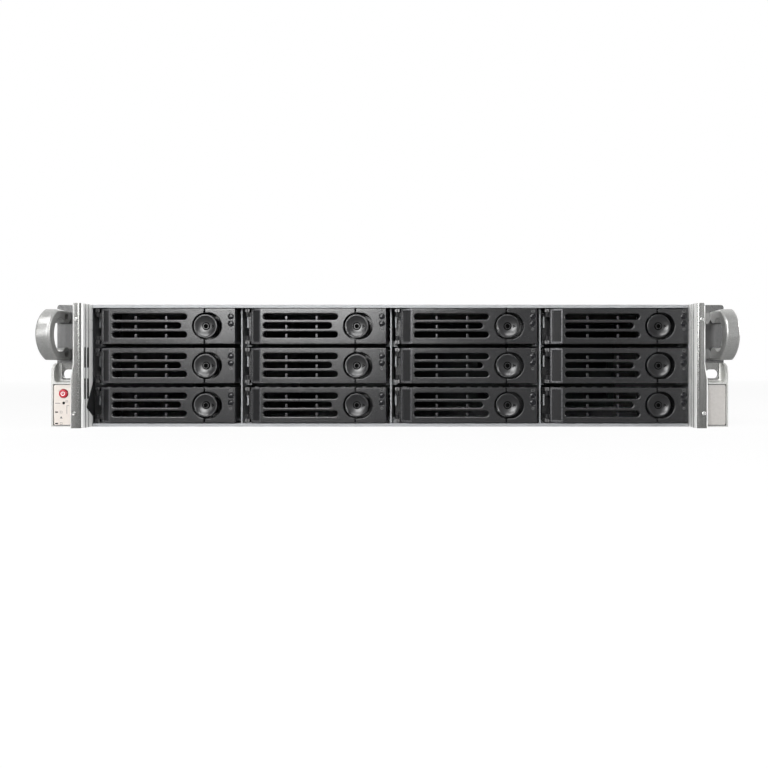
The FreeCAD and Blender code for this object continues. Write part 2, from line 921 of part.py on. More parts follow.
def psu_handle(x, z):
    """A bail bent from flat bar, standing out of the module's rear face."""
    low = z + (psu_height - psu_handle_span) / 2
    high = low + psu_handle_span
    back = rear_y + psu_handle_reach
    outer = box(x, x + psu_handle_width, rear_y, back, low, high)
    corners = [edge for edge in outer.Edges
               if edge.BoundBox.YMin > back - 0.01 and edge.BoundBox.XLength > psu_handle_width / 2]
    outer = outer.makeFillet(2 * psu_handle_bar, corners)
    return outer.cut(box(x, x + psu_handle_width, rear_y, back - psu_handle_bar,
                         low + psu_handle_bar, high - psu_handle_bar))


def inlet_place(z):
    left = psu_wall_x + psu_gap + psu_width - inlet_right - inlet_width
    return left, z + (psu_height - inlet_height) / 2


def inlet_pins(z):
    left, low = inlet_place(z)
    middle = left + inlet_width / 2
    back = rear_y - inlet_depth
    pins = []
    for step in (-1, 0, 1):
        x = middle + step * inlet_pin_pitch
        rise = low + (inlet_earth_rise if step == 0 else inlet_pin_rise)
        pins.append(box(x - inlet_pin_width / 2, x + inlet_pin_width / 2, back, back + inlet_pin_length,
                        rise - inlet_pin_height / 2, rise + inlet_pin_height / 2))
    return pins


def latch_place(z):
    left = psu_wall_x + psu_gap + psu_width - latch_gap - latch_width - 2 * latch_gap
    return left, z + (psu_height - latch_height) / 2


def psu(z):
    x = psu_wall_x + psu_gap
    body = box(x, x + psu_width, rear_y - psu_length, rear_y, z, z + psu_height)
    left, low = inlet_place(z)
    cuts = [box(left, left + inlet_width, rear_y - inlet_depth, rear_y, low, low + inlet_height)]
    vent_x = x + psu_handle_left + psu_handle_width + psu_handle_left
    for index in range(psu_vent_count):
        vent_z = z + psu_height / 2 + (index - (psu_vent_count - 1) / 2) * psu_vent_pitch
        cuts.append(box(vent_x, vent_x + psu_vent_width, rear_y - psu_vent_depth, rear_y,
                        vent_z - psu_vent_height / 2, vent_z + psu_vent_height / 2))
    latch_x, latch_z = latch_place(z)
    cuts.append(box(latch_x - latch_travel - latch_gap, latch_x + latch_width + latch_gap,
                    rear_y - latch_depth - latch_gap, rear_y,
                    latch_z - latch_gap, latch_z + latch_height + latch_gap))
    return joined(body.cut(cuts), inlet_pins(z) + [psu_handle(x + psu_handle_left, z)])


def psu_latch(z):
    """A thumb tab, wedge-shaped at its free end, that is pushed across towards the handle."""
    left, low = latch_place(z)
    right = left + latch_width
    front = rear_y - latch_depth
    back = rear_y + latch_reach
    outline = [
        vector(left, front, low),
        vector(right, front, low),
        vector(right, back, low),
        vector(left + latch_width / 2, back, low),
        vector(left, rear_y, low),
    ]
    return prism(outline, vector(0, 0, latch_height))


# Screw heads on the ear tabs and the rear panel

def screws():
    heads = []
    y = rack_y + ear_screw_depth
    face = half_chassis + ear_tab_thickness
    for sign in (-1, 1):
        for z in ear_screw_heights:
            start = vector(sign * face, y, z)
            heads.append(rod(screw_r, start, start + vector(sign * screw_head, 0, 0)))
    for x in (-half_inside + rear_screw_inset, psu_wall_x - sheet - rear_screw_inset):
        for z in (sheet + rear_screw_inset, wall_top - rear_screw_inset):
            start = vector(x, rear_y, z)
            heads.append(rod(screw_r, start, start + vector(0, screw_head, 0)))
    return Part.makeCompound(heads)


def save_trays():
    one_tray = tray()
    one_lever = lever()
    one_button = button()
    for column in range(columns):
        for row in range(rows):
            place = "_%d%d" % (column + 1, rows - row)
            save("tray" + place, in_bay(one_tray, column, row))
            save("lever" + place, in_bay(one_lever, column, row))
            save("button" + place, in_bay(one_button, column, row))


def main():
    os.makedirs("parts", exist_ok=True)
    save("chassis_base", chassis_base())
    save("front_cover", front_cover())
    save("top_cover", top_cover())
    save("bay_dividers", bay_dividers())
    save_trays()
    save("backplane", backplane())
    save("fan_wall", fan_wall())
    for index in range(fan_count):
        save("fan_rotor_%d" % (index + 1), fan_rotor(index))
    save("left_ear", left_ear())
    save("right_ear", ear())
    right_handle = handle()
    save("left_handle", moved(right_handle, handle_width - rack_width, 0, 0))
    save("right_handle", right_handle)
    save("control_block", control_block())
    save("power_button", power_button())
    save("right_block", foot_block())
    save("rear_panel", rear_panel())
    save("expander_board", expander_board())
    save("psu_cage", psu_cage())
    for name, low in (("psu_lower", sheet), ("psu_upper", shelf_z + sheet)):
        save(name, psu(low + psu_seat_gap))
        save(name + "_latch", psu_latch(low + psu_seat_gap))
    save("screws", screws())


main()
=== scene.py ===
# %% [markdown]
# # A rackmount storage expansion unit
# The object is a flat steel case, two rack units high, with twelve drive trays in its front,
# an ear with a cast handle at each side, and two power supplies at the back.
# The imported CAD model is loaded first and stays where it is. The pieces that the eye rests on
# are modelled again here with rounded edges, and each one rides on the CAD body it belongs to.

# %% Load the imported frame
import math

import bpy
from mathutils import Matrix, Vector


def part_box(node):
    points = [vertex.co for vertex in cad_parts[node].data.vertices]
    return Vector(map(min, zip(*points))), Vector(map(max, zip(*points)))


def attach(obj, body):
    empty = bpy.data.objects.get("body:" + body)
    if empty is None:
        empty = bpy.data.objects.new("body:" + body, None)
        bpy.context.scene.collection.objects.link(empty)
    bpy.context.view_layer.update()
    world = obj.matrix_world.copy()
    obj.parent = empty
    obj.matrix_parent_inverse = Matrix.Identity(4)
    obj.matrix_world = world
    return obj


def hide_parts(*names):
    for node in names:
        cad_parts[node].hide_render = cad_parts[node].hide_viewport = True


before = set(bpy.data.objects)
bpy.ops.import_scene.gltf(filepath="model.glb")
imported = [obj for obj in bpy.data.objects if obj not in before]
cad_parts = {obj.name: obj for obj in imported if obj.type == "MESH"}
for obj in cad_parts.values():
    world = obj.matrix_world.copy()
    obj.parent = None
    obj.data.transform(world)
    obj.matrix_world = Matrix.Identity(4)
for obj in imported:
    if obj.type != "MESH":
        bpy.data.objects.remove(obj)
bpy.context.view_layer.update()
mm = 0.001
rack_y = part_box("left_handle")[1].y / mm
rear_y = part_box("chassis_base")[1].y / mm
half_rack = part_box("right_handle")[1].x / mm
half_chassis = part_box("chassis_base")[1].x / mm
unit_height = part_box("front_cover")[1].z / mm
print("nodes:", len(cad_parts), "rack plane at y =", round(rack_y, 1), "mm")

# %% [markdown]
# ## Camera and light
# The photograph was taken from straight ahead and quite close, so the sides of the handles
# show and the front looks wider than the back. A lens of 28.5 mm at 0.44 m does the same.
# The light is a soft box left of the camera and a little higher, which puts the broad sheen
# on the upper trays of the second column. A lamp higher up lights the edges that face up, one
# far to the left shows in the ramps of the last column, and a weak one in front on the right
# shows in the right rail. The last two light the right side and the back.

# %% Camera
bpy.ops.object.select_all(action="DESELECT")
camera_data = bpy.data.cameras.new("camera")
camera = bpy.data.objects.new("camera", camera_data)
bpy.context.scene.collection.objects.link(camera)
bpy.context.scene.camera = camera
camera_x, camera_distance, camera_height = 33.7, 440, 42.3
camera.location = (camera_x * mm, (rack_y - camera_distance) * mm, camera_height * mm)
camera.rotation_euler = (math.radians(90), 0, 0)
camera_data.sensor_width = 36
camera_data.lens = 28.5
camera_data.clip_start = 0.01
camera_data.shift_x = -0.069
camera_data.shift_y = -0.0208
bpy.context.scene.view_settings.view_transform = "Standard"
print("camera", [round(value, 4) for value in camera.location])


# %% Lamps
front_middle = Vector((0, rack_y * mm, 0.05))


def soft_lamp(name, place, width, height, power):
    """A rectangular lamp aimed at the middle of the front, in metres and watts."""
    data = bpy.data.lights.new(name, "AREA")
    data.shape = "RECTANGLE"
    data.size = width
    data.size_y = height
    data.energy = power
    lamp = bpy.data.objects.new(name, data)
    bpy.context.scene.collection.objects.link(lamp)
    lamp.location = place
    aim = front_middle - Vector(place)
    lamp.rotation_euler = aim.to_track_quat("-Z", "Y").to_euler()
    return lamp


soft_lamp("key_lamp", (-0.43, -1.66, 0.47), 0.66, 0.50, 11.5)
soft_lamp("top_lamp", (-0.30, -1.20, 1.20), 1.60, 0.45, 18)
soft_lamp("left_lamp", (-3.94, -4.67, 0.62), 0.70, 1.20, 20)
soft_lamp("right_lamp", (1.70, -0.50, 0.50), 0.60, 0.60, 18)
soft_lamp("front_lamp", (1.60, -3.40, 0.45), 0.50, 0.90, 1.6)
soft_lamp("rear_lamp", (-0.80, 1.90, 1.10), 1.20, 1.20, 10)

# %% [markdown]
# ## Floor and background
# The photograph is cut out on white. The world and the floor are white for the camera and
# for reflections, while the light that they give to the object stays low. Behind the camera
# a studio is darker than its backdrop, so reflections fade towards that side. Near the object
# the floor glows a little less than further out, so that it keeps the object's shadow.

# %% World
low_light, dim_reflection = 0.16, 0.16


def calculated(nodes, links, operation, one, other):
    """The result of a calculation with two values, such as the larger one or their product."""
    step = nodes.new("ShaderNodeMath")
    step.operation = operation
    links.new(one, step.inputs[0])
    links.new(other, step.inputs[1])
    return step.outputs[0]


def seen_directly(nodes, links):
    """A value of 1 for camera, glossy and transmission rays, and 0 for the others."""
    path = nodes.new("ShaderNodeLightPath")
    total = path.outputs["Is Camera Ray"]
    for name in ("Is Glossy Ray", "Is Transmission Ray"):
        total = calculated(nodes, links, "MAXIMUM", total, path.outputs[name])
    return total


def faded(nodes, links, value, start, end):
    """1 for the camera; for reflections it rises from dim to 1 as a value goes up."""
    rise = nodes.new("ShaderNodeMapRange")
    rise.interpolation_type = "SMOOTHSTEP"
    rise.inputs["From Min"].default_value = start
    rise.inputs["From Max"].default_value = end
    rise.inputs["To Min"].default_value = dim_reflection
    links.new(value, rise.inputs["Value"])
    camera_ray = nodes.new("ShaderNodeLightPath").outputs["Is Camera Ray"]
    return calculated(nodes, links, "MAXIMUM", camera_ray, rise.outputs["Result"])


world = bpy.data.worlds.new("studio")
bpy.context.scene.world = world
world.use_nodes = True
nodes, links = world.node_tree.nodes, world.node_tree.links
nodes["Background"].inputs["Color"].default_value = (0.95, 0.97, 1.0, 1)
nodes["Background"].inputs["Strength"].default_value = low_light
direction = nodes.new("ShaderNodeTexCoord")
parts = nodes.new("ShaderNodeSeparateXYZ")
links.new(direction.outputs["Generated"], parts.inputs[0])
backdrop = nodes.new("ShaderNodeBackground")
backdrop.inputs["Color"].default_value = (1, 1, 1, 1)
links.new(faded(nodes, links, parts.outputs["Y"], -0.5, 0.5), backdrop.inputs["Strength"])
mix = nodes.new("ShaderNodeMixShader")
links.new(seen_directly(nodes, links), mix.inputs[0])
links.new(nodes["Background"].outputs[0], mix.inputs[1])
links.new(backdrop.outputs[0], mix.inputs[2])
links.new(mix.outputs[0], nodes["World Output"].inputs["Surface"])
print("world:", world.name)

# %% Floor
bpy.ops.object.select_all(action="DESELECT")
bpy.ops.mesh.primitive_plane_add(size=12, location=(0, 0, 0))
floor = bpy.context.object
floor.name = "floor"
paper = bpy.data.materials.new("studio_paper")
paper.use_nodes = True
nodes, links = paper.node_tree.nodes, paper.node_tree.links
nodes["Principled BSDF"].inputs["Base Color"].default_value = (0.9, 0.9, 0.9, 1)
nodes["Principled BSDF"].inputs["Roughness"].default_value = 0.9
place = nodes.new("ShaderNodeTexCoord")
parts = nodes.new("ShaderNodeSeparateXYZ")
links.new(place.outputs["Object"], parts.inputs[0])
glow = nodes.new("ShaderNodeEmission")
links.new(faded(nodes, links, parts.outputs["Y"], -0.3, 0.2), glow.inputs["Strength"])
distance = nodes.new("ShaderNodeVectorMath")
distance.operation = "LENGTH"
links.new(place.outputs["Object"], distance.inputs[0])
spread = nodes.new("ShaderNodeMapRange")
spread.inputs["From Min"].default_value = 0.5
spread.inputs["From Max"].default_value = 2.0
spread.inputs["To Min"].default_value = 0.88
links.new(distance.outputs["Value"], spread.inputs["Value"])
share = calculated(nodes, links, "MULTIPLY", seen_directly(nodes, links), spread.outputs["Result"])
mix = nodes.new("ShaderNodeMixShader")
links.new(share, mix.inputs[0])
links.new(nodes["Principled BSDF"].outputs[0], mix.inputs[1])
links.new(glow.outputs[0], mix.inputs[2])
links.new(mix.outputs[0], nodes["Material Output"].inputs["Surface"])
floor.data.materials.append(paper)
print("floor", floor.name)

# %% [markdown]
# ## Finishes
# Every finish is built from noise on Object coordinates, so it stays on its piece in any pose.
# Moulded plastic has a fine spark-eroded grain, sheet steel has cloudy zinc, the ears are
# drawn aluminium with faint streaks along their length, and the handles are blasted castings.


# %% A finish with grain
def grained(name, colour, metallic, roughness, grain, bump, stretch=(1, 1, 1), spread=0.25, gloss=0.5):
    """A finish whose colour and roughness drift with noise, with a fine bump.

    grain is the number of grains per metre, stretch draws them out along an axis, spread is
    how far the colour drifts, and gloss is the strength of plain reflections.
    """
    material = bpy.data.materials.new(name)
    material.use_nodes = True
    nodes, links = material.node_tree.nodes, material.node_tree.links
    shader = nodes["Principled BSDF"]
    shader.inputs["Metallic"].default_value = metallic
    shader.inputs["Specular IOR Level"].default_value = gloss
    place = nodes.new("ShaderNodeTexCoord")
    mapping = nodes.new("ShaderNodeMapping")
    mapping.inputs["Scale"].default_value = stretch
    links.new(place.outputs["Object"], mapping.inputs["Vector"])
    noise = nodes.new("ShaderNodeTexNoise")
    noise.inputs["Scale"].default_value = grain
    noise.inputs["Detail"].default_value = 3
    links.new(mapping.outputs["Vector"], noise.inputs["Vector"])
    ramp = nodes.new("ShaderNodeValToRGB")
    ramp.color_ramp.elements[0].position = 0.3
    ramp.color_ramp.elements[1].position = 0.7
    ramp.color_ramp.elements[0].color = (*[c * (1 - spread) for c in colour], 1)
    ramp.color_ramp.elements[1].color = (*[min(1, c * (1 + spread)) for c in colour], 1)
    links.new(noise.outputs["Fac"], ramp.inputs["Fac"])
    links.new(ramp.outputs["Color"], shader.inputs["Base Color"])
    drift = nodes.new("ShaderNodeMapRange")
    drift.inputs["To Min"].default_value = roughness * 0.85
    drift.inputs["To Max"].default_value = min(1, roughness * 1.15)
    links.new(noise.outputs["Fac"], drift.inputs["Value"])
    links.new(drift.outputs["Result"], shader.inputs["Roughness"])
    height = nodes.new("ShaderNodeBump")
    height.inputs["Strength"].default_value = bump
    height.inputs["Distance"].default_value = 0.0002
    links.new(noise.outputs["Fac"], height.inputs["Height"])
    links.new(height.outputs["Normal"], shader.inputs["Normal"])
    return material


tray_black = grained("tray_black", (0.012, 0.012, 0.013), 0, 0.26, 1300, 0.24, gloss=1.0)
panel_black = grained("panel_black", (0.010, 0.010, 0.011), 0, 0.50, 1500, 0.22, gloss=0.35)
frame_black = grained("frame_black", (0.09, 0.09, 0.094), 0.55, 0.28, 1500, 0.03, gloss=0.35)
button_black = grained("button_black", (0.008, 0.008, 0.009), 0, 0.31, 1800, 0.08, gloss=1.0)
# A dull black: painted shade in the hinge, the plate recesses, the pinhole and the vent slots, and also the
# black wedge on the left rail.
matte_black_and_shade = grained("matte_black_and_shade", (0.008, 0.008, 0.009), 0, 0.55, 900, 0.2)
# A black that hardly reflects: painted shade in the button's key socket, groove and arrow.
black_painted_shade = grained("black_painted_shade", (0.002, 0.002, 0.002), 0, 0.80, 900, 0.0, gloss=0.05)
zinc_steel = grained("zinc_steel", (0.50, 0.51, 0.52), 1, 0.70, 90, 0.02, spread=0.10)
bright_steel = grained("bright_steel", (0.52, 0.52, 0.52), 1, 0.30, 300, 0.05, spread=0.08)
# A darker copy of the steel: painted shade for the hinge posts and the contact fingers that sit in shadow.
steel_painted_shade = grained("steel_painted_shade", (0.16, 0.16, 0.16), 1, 0.40, 500, 0.05, spread=0.15)
satin_grey = grained("satin_grey", (0.36, 0.36, 0.35), 0.9, 0.22, 900, 0.01, (1, 1, 0.03), 0.10)
# A darker copy of the ears' satin: painted shade for the front of the flange, which the handles shade.
satin_painted_shade = grained("satin_painted_shade", (0.22, 0.22, 0.22), 0.9, 0.24, 900, 0.01, (1, 1, 0.03), 0.10)
# A lighter copy of the ears' satin: painted highlight for the rail's inner wall and its rounded edges.
satin_painted_highlight = grained("satin_painted_highlight", (0.74, 0.74, 0.73), 0.25, 0.45, 900, 0.01, (1, 1, 0.03), 0.06)
cast_silver = grained("cast_silver", (0.46, 0.46, 0.45), 0.72, 0.32, 1400, 0.30, spread=0.16)
cast_light = grained("cast_light", (0.60, 0.60, 0.58), 0.45, 0.36, 1400, 0.22, spread=0.10)
control_plastic = grained("control_plastic", (0.60, 0.55, 0.505), 0, 0.45, 700, 0.06, spread=0.03)
plate_grey = grained("plate_grey", (0.50, 0.48, 0.46), 0.3, 0.42, 700, 0.06, spread=0.05)
red_plastic = grained("red_plastic", (0.42, 0.010, 0.025), 0, 0.36, 800, 0.05, spread=0.08)
icon_white = grained("icon_white", (0.85, 0.85, 0.85), 0, 0.5, 900, 0.02, spread=0.03)
icon_grey = grained("icon_grey", (0.10, 0.10, 0.10), 0, 0.5, 900, 0.02, spread=0.10)
lens_dark = grained("lens_dark", (0.010, 0.010, 0.012), 0, 0.14, 600, 0.02, spread=0.2)
circuit_green = grained("circuit_green", (0.004, 0.014, 0.009), 0, 0.45, 500, 0.15, spread=0.4)
fan_plastic = grained("fan_plastic", (0.014, 0.014, 0.015), 0, 0.48, 900, 0.15)
latch_plastic = grained("latch_plastic", (0.02, 0.16, 0.22), 0, 0.40, 900, 0.12)
screw_steel = grained("screw_steel", (0.55, 0.55, 0.54), 1, 0.28, 700, 0.08, spread=0.08)
print("finishes:", len(bpy.data.materials))

# %% [markdown]
# ## Tools for the bench
# Each piece starts as a box or a round bar at its size and place. Boxes are carved with
# cutters, edges are bevelled so that they catch the light, and the place is kept in the mesh.


# %% Boxes, bars and cutters
def enter(mode):
    """Goes into edit mode, or back to object mode."""
    bpy.ops.object.mode_set(mode=mode)


def pick(piece):
    """Selects one piece alone, ready for an operator."""
    bpy.ops.object.select_all(action="DESELECT")
    piece.select_set(True)
    bpy.context.view_layer.objects.active = piece
    return piece


def block(name, x, y, z):
    """A box between limits in millimetres, with its place in its mesh."""
    bpy.ops.object.select_all(action="DESELECT")
    bpy.ops.mesh.primitive_cube_add(size=1)
    piece = bpy.context.object
    piece.name = name
    piece.scale = [(high - low) * mm for low, high in (x, y, z)]
    piece.location = [(high + low) / 2 * mm for low, high in (x, y, z)]
    bpy.ops.object.transform_apply()
    return piece


def bar(name, radius, start, end, sides=32):
    """A round bar between two points in millimetres."""
    along = Vector(end) - Vector(start)
    bpy.ops.object.select_all(action="DESELECT")
    bpy.ops.mesh.primitive_cylinder_add(vertices=sides, radius=radius * mm, depth=along.length * mm)
    piece = bpy.context.object
    piece.name = name
    piece.rotation_euler = along.to_track_quat("Z", "Y").to_euler()
    piece.location = (Vector(start) + Vector(end)) / 2 * mm
    bpy.ops.object.transform_apply()
    return piece


def peg(name, radius, x, z, front, back, sides=32):
    """A round bar along Y, at a place x, z in millimetres."""
    return bar(name, radius, (x, front, z), (x, back, z), sides)


def slot_bar(left, right, middle, height, front, back, sides=28):
    """A bar along Y, pulled sideways into a slot with round ends."""
    radius = height / 2
    bpy.ops.object.select_all(action="DESELECT")
    bpy.ops.mesh.primitive_cylinder_add(
        vertices=sides, radius=radius * mm, depth=(back - front) * mm,
        location=((left + radius) * mm, (front + back) / 2 * mm, middle * mm),
        rotation=(math.pi / 2, math.pi / sides, 0))
    bpy.ops.object.transform_apply()
    piece = bpy.context.object
    select_points(piece, lambda p: p.x > left + radius)
    bpy.ops.transform.translate(value=((right - left - height) * mm, 0, 0))
    enter("OBJECT")
    return piece


def flare(cutter, rim, length, steps=5):
    """Narrows the inner end of a cutter in a quarter round, then pulls it on along Y."""
    select_faces(cutter, lambda middle, normal: normal.y > 0.9)
    for step in range(steps):
        start, end = [math.pi / 2 * number / steps for number in (step, step + 1)]
        bpy.ops.mesh.inset(thickness=rim * (math.sin(end) - math.sin(start)) * mm,
                           depth=rim * (math.cos(start) - math.cos(end)) * mm)
    bpy.ops.mesh.extrude_region_move(TRANSFORM_OT_translate={"value": (0, length * mm, 0)})
    enter("OBJECT")
    return cutter


def clear_selection(piece, kind):
    """Leaves nothing selected in a piece, so that points, edges or faces can be chosen."""
    pick(piece)
    enter("EDIT")
    bpy.ops.mesh.select_mode(type=kind)
    bpy.ops.mesh.select_all(action="DESELECT")
    enter("OBJECT")


def select_points(piece, test):
    """Goes into edit mode with only the points selected that pass a test in millimetres."""
    clear_selection(piece, "VERT")
    for point in piece.data.vertices:
        point.select = bool(test(point.co / mm))
    enter("EDIT")


def select_edges(piece, test):
    """Goes into edit mode with only the edges selected whose two ends pass a test."""
    clear_selection(piece, "EDGE")
    points = piece.data.vertices
    for edge in piece.data.edges:
        edge.select = bool(test(points[edge.vertices[0]].co / mm, points[edge.vertices[1]].co / mm))
    enter("EDIT")


def select_faces(piece, test):
    """Goes into edit mode with only the faces selected that pass a test of middle and normal."""
    clear_selection(piece, "FACE")
    for face in piece.data.polygons:
        face.select = bool(test(face.center / mm, face.normal))
    enter("EDIT")


def both_at(one, other, place, slack=0.01):
    """True where two measures are both at a place."""
    return max(abs(one - place), abs(other - place)) < slack


def front_at(middle, normal, y):
    """True for a face that looks to the front and lies at y."""
    return normal.y < -0.9 and abs(middle.y - y) < 0.05


def step_in(piece, steps):
    """Insets the front of a piece again and again, each time by a width and a rise."""
    select_faces(piece, lambda middle, normal: normal.y < -0.9)
    for width, rise in steps:
        bpy.ops.mesh.inset(thickness=width * mm, depth=rise * mm)
    enter("OBJECT")
    return piece


def round_edges(piece, width, segments, test):
    """Bevels the edges whose two ends pass a test."""
    select_edges(piece, test)
    bpy.ops.mesh.bevel(offset=width * mm, segments=segments, clamp_overlap=True, loop_slide=False)
    enter("OBJECT")
    return piece


def slice_off(piece, point, normal, keep_both=False):
    """Cuts a piece on a plane; what lies on the normal's side is removed and the cut is closed."""
    pick(piece)
    enter("EDIT")
    bpy.ops.mesh.select_all(action="SELECT")
    bpy.ops.mesh.bisect(plane_co=[value * mm for value in point], plane_no=Vector(normal).normalized(),
                        use_fill=not keep_both, clear_outer=not keep_both)
    enter("OBJECT")
    return piece


def apply_modifier(piece, kind, **settings):
    """Adds a modifier to a piece and applies it."""
    pick(piece)
    modifier = piece.modifiers.new(kind.lower(), kind)
    for name, value in settings.items():
        setattr(modifier, name, value)
    bpy.ops.object.modifier_apply(modifier=modifier.name)


def carve(piece, *cutters):
    """Takes the cutters' shapes out of a piece, and clears them away."""
    for cutter in cutters:
        apply_modifier(piece, "BOOLEAN", operation="DIFFERENCE", solver="EXACT", object=cutter)
        bpy.data.objects.remove(cutter)
    return piece


def soften(piece, width, segments=2, angle=40):
    """Bevels every sharp edge, and shades the curves smooth."""
    apply_modifier(piece, "BEVEL", width=width * mm, segments=segments, limit_method="ANGLE",
                   angle_limit=math.radians(angle), loop_slide=False)
    return shade(piece)


def shade(piece):
    """Shades the curves of a piece smooth, and leaves its sharp edges."""
    pick(piece)
    bpy.ops.object.shade_smooth_by_angle(angle=math.radians(32))
    return piece


def gather(piece, *others):
    """Joins separate pieces into one object, without fusing them."""
    pick(piece)
    for other in others:
        other.select_set(True)
    bpy.ops.object.join()
    return piece


def dress(piece, finish):
    """Gives a whole piece one finish."""
    piece.data.materials.clear()
    piece.data.materials.append(finish)
    return piece


def true_flats(piece):
    """Weights the normals by area, so that a flat stays flat beside its rounded edges."""
    apply_modifier(piece, "WEIGHTED_NORMAL", keep_sharp=True)
    return piece


def paint(piece, finish, test):
    """Gives the faces that pass a test another finish."""
    piece.data.materials.append(finish)
    select_faces(piece, test)
    piece.active_material_index = len(piece.data.materials) - 1
    bpy.ops.object.material_slot_assign()
    enter("OBJECT")
    return piece


def fit(piece, body, slot, *nodes):
    """Puts a piece on its CAD body and hides the CAD nodes it stands for; slot is not used."""
    if not piece.data.has_custom_normals:
        true_flats(piece)
    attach(piece, body)
    if nodes:
        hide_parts(*nodes)
    return piece


def copy_of(piece, name, shift):
    """A copy with its own mesh, moved by a shift in millimetres."""
    pick(piece)
    bpy.ops.object.duplicate()
    copy = bpy.context.object
    copy.name = name
    copy.location = [value * mm for value in shift]
    bpy.ops.object.transform_apply()
    return copy


print("tools ready")

# %% [markdown]
# ## One bay, to be copied twelve times
# A drive tray has a hinged lever across most of its face, a fixed bezel at the right and a
# steel sled behind. All of it is modelled once in bay millimetres: x from the left edge of
# the face, y from the rack plane, z from the middle of the face. The sizes are the CAD's.

# %% Sizes of a tray
face_front = -1.7
half_face = 12.7
lever_left, lever_right, lever_back = 4.1, 80.15, 1.8
ramp_edge, ramp_length, ramp_fall = 12.5, 7.9, 4.0
hinge_x, hinge_y = 1.8, 3.0
face_right, bezel_left = 102.8, 81.25
disc_x, disc_radius, hole_radius, hole_relief = 81.6, 8.4, 9.6, 2.0
stem_radius, carrier_left, carrier_y = 2.5, 69, (6, 7.5)
sled_left, sled_right, sled_back, sheet = -0.3, 103.1, 178, 0.8
bulkhead = (12, 14)
vents = ((14.1, 67.9, 6.8), (14.1, 63.6, 0.35), (14.1, 67.9, -6.1))
vent_height, vent_rim, hole_rim = 4.3, 0.75, 0.5
rib_places = (30.6, 52.6)
print("a face is", face_right, "by", 2 * half_face, "mm")

# %% [markdown]
# ### Lever plate
# The lever is a moulded plate. Its hinge end falls back in a ramp that a finger slides down,
# with a flat sunk panel in it. The vents and the button's hole are cut through, and their
# rims are rounded wide, because that rounding is the bright line under each vent. A cutter
# with a flared mouth makes hole and rim in one cut.

# %% Model the lever plate
lever = block("lever", (lever_left, lever_right), (face_front, 4.5), (-half_face, half_face))
slice_off(lever, (ramp_edge, face_front, 0), (-ramp_fall, -ramp_length, 0))
carve(lever, block("relief", (13.0, 90), (lever_back, 6), (-20, 20)))
mouth = (face_front - 1, face_front - 0.01)
for left, right, middle in vents:
    slot = slot_bar(left - vent_rim, right + vent_rim, middle, vent_height + 2 * vent_rim, *mouth)
    carve(lever, flare(slot, vent_rim, 4))
hole = peg("disc_hole", hole_radius + hole_rim, disc_x, 0, *mouth, 64)
carve(lever, flare(hole, hole_rim, 4))


def on_ramp(middle, normal):
    """True for a face of the ramp, or of the panel in it."""
    return normal.x < -0.3 and normal.y < -0.6 and 3 < middle.x < ramp_edge + 0.1


select_faces(lever, on_ramp)
bpy.ops.mesh.inset(thickness=1.5 * mm)
bpy.ops.mesh.inset(thickness=0.2 * mm, depth=-0.4 * mm)
enter("OBJECT")
soften(lever, 0.3, 2, 55)
select_edges(lever, lambda a, b: both_at(a.x, b.x, ramp_edge, 0.05) and max(a.y, b.y) < face_front + 0.05)
bpy.ops.mesh.mark_sharp()
enter("OBJECT")
print("lever plate:", len(lever.data.polygons), "faces")

# %% [markdown]
# ### Ribs, hinge and button carrier
# Behind each vent two short ribs stand up from the lower rim. Two hinge knuckles at the left
# end turn between posts on the tray, and a bracket at the right end carries the button.

# %% Add the ribs, hinge and carrier
extras = []
for left, right, middle in vents:
    for place in rib_places:
        low = middle - vent_height / 2 - 0.4
        rib = block("rib", (place - 0.8, place + 0.8), (-0.7, 1.7), (low, middle + 0.5))
        extras.append(soften(rib, 0.25))
for sign in (-1, 1):
    inner, outer = sign * 6.8, sign * 10
    start = (hinge_x, hinge_y, inner)
    extras.append(soften(bar("knuckle", 1.5, start, (hinge_x, hinge_y, outer), 24), 0.2))
    extras.append(shade(bar("pin", 1.0, start, (hinge_x, hinge_y, sign * 12.3), 20)))
    web = block("web", (hinge_x, 4.8), (hinge_y - 0.6, hinge_y + 0.6), sorted((inner, outer)))
    extras.append(soften(web, 0.15))
for low in (-half_face, half_face - 1.5):
    extras.append(soften(block("rim", (12, carrier_left), (1.6, 6.8), (low, low + 1.5)), 0.2))
wall = block("carrier_wall", (carrier_left, carrier_left + 1.5), (1.6, carrier_y[1]), (-6, 6))
extras.append(soften(wall, 0.2))
carrier = block("carrier_floor", (carrier_left, 88.6), carrier_y, (-6, 6))
carve(carrier, peg("stem_hole", stem_radius + 0.06, disc_x, 0, 5, 9, 28))
extras.append(soften(carrier, 0.2))
gather(lever, *extras)
dress(lever, tray_black)


def below_ramp(middle):
    """How far a point lies behind the ramp's plane, in millimetres."""
    off_plane = (middle.x - ramp_edge) * ramp_fall + (middle.y - face_front) * ramp_length
    return off_plane / math.hypot(ramp_fall, ramp_length)


# The hinge knuckles get a darker, duller black as painted shade in the hinge recess.
paint(lever, matte_black_and_shade, lambda middle, normal: middle.x < lever_left - 0.2)
paint(lever, frame_black, lambda middle, normal: on_ramp(middle, normal) and below_ramp(middle) < 0.2)
paint(lever, panel_black, lambda middle, normal: on_ramp(middle, normal) and below_ramp(middle) > 0.3)
print("lever:", len(lever.data.polygons), "faces")

# %% [markdown]
# ### Release button
# The button is a dished disc with a raised rim, a boss with a hexagonal key socket in a narrow
# groove, and a small arrow cut in beside it. Insets that step back one after the other turn
# the flat end of a round bar into a dish.

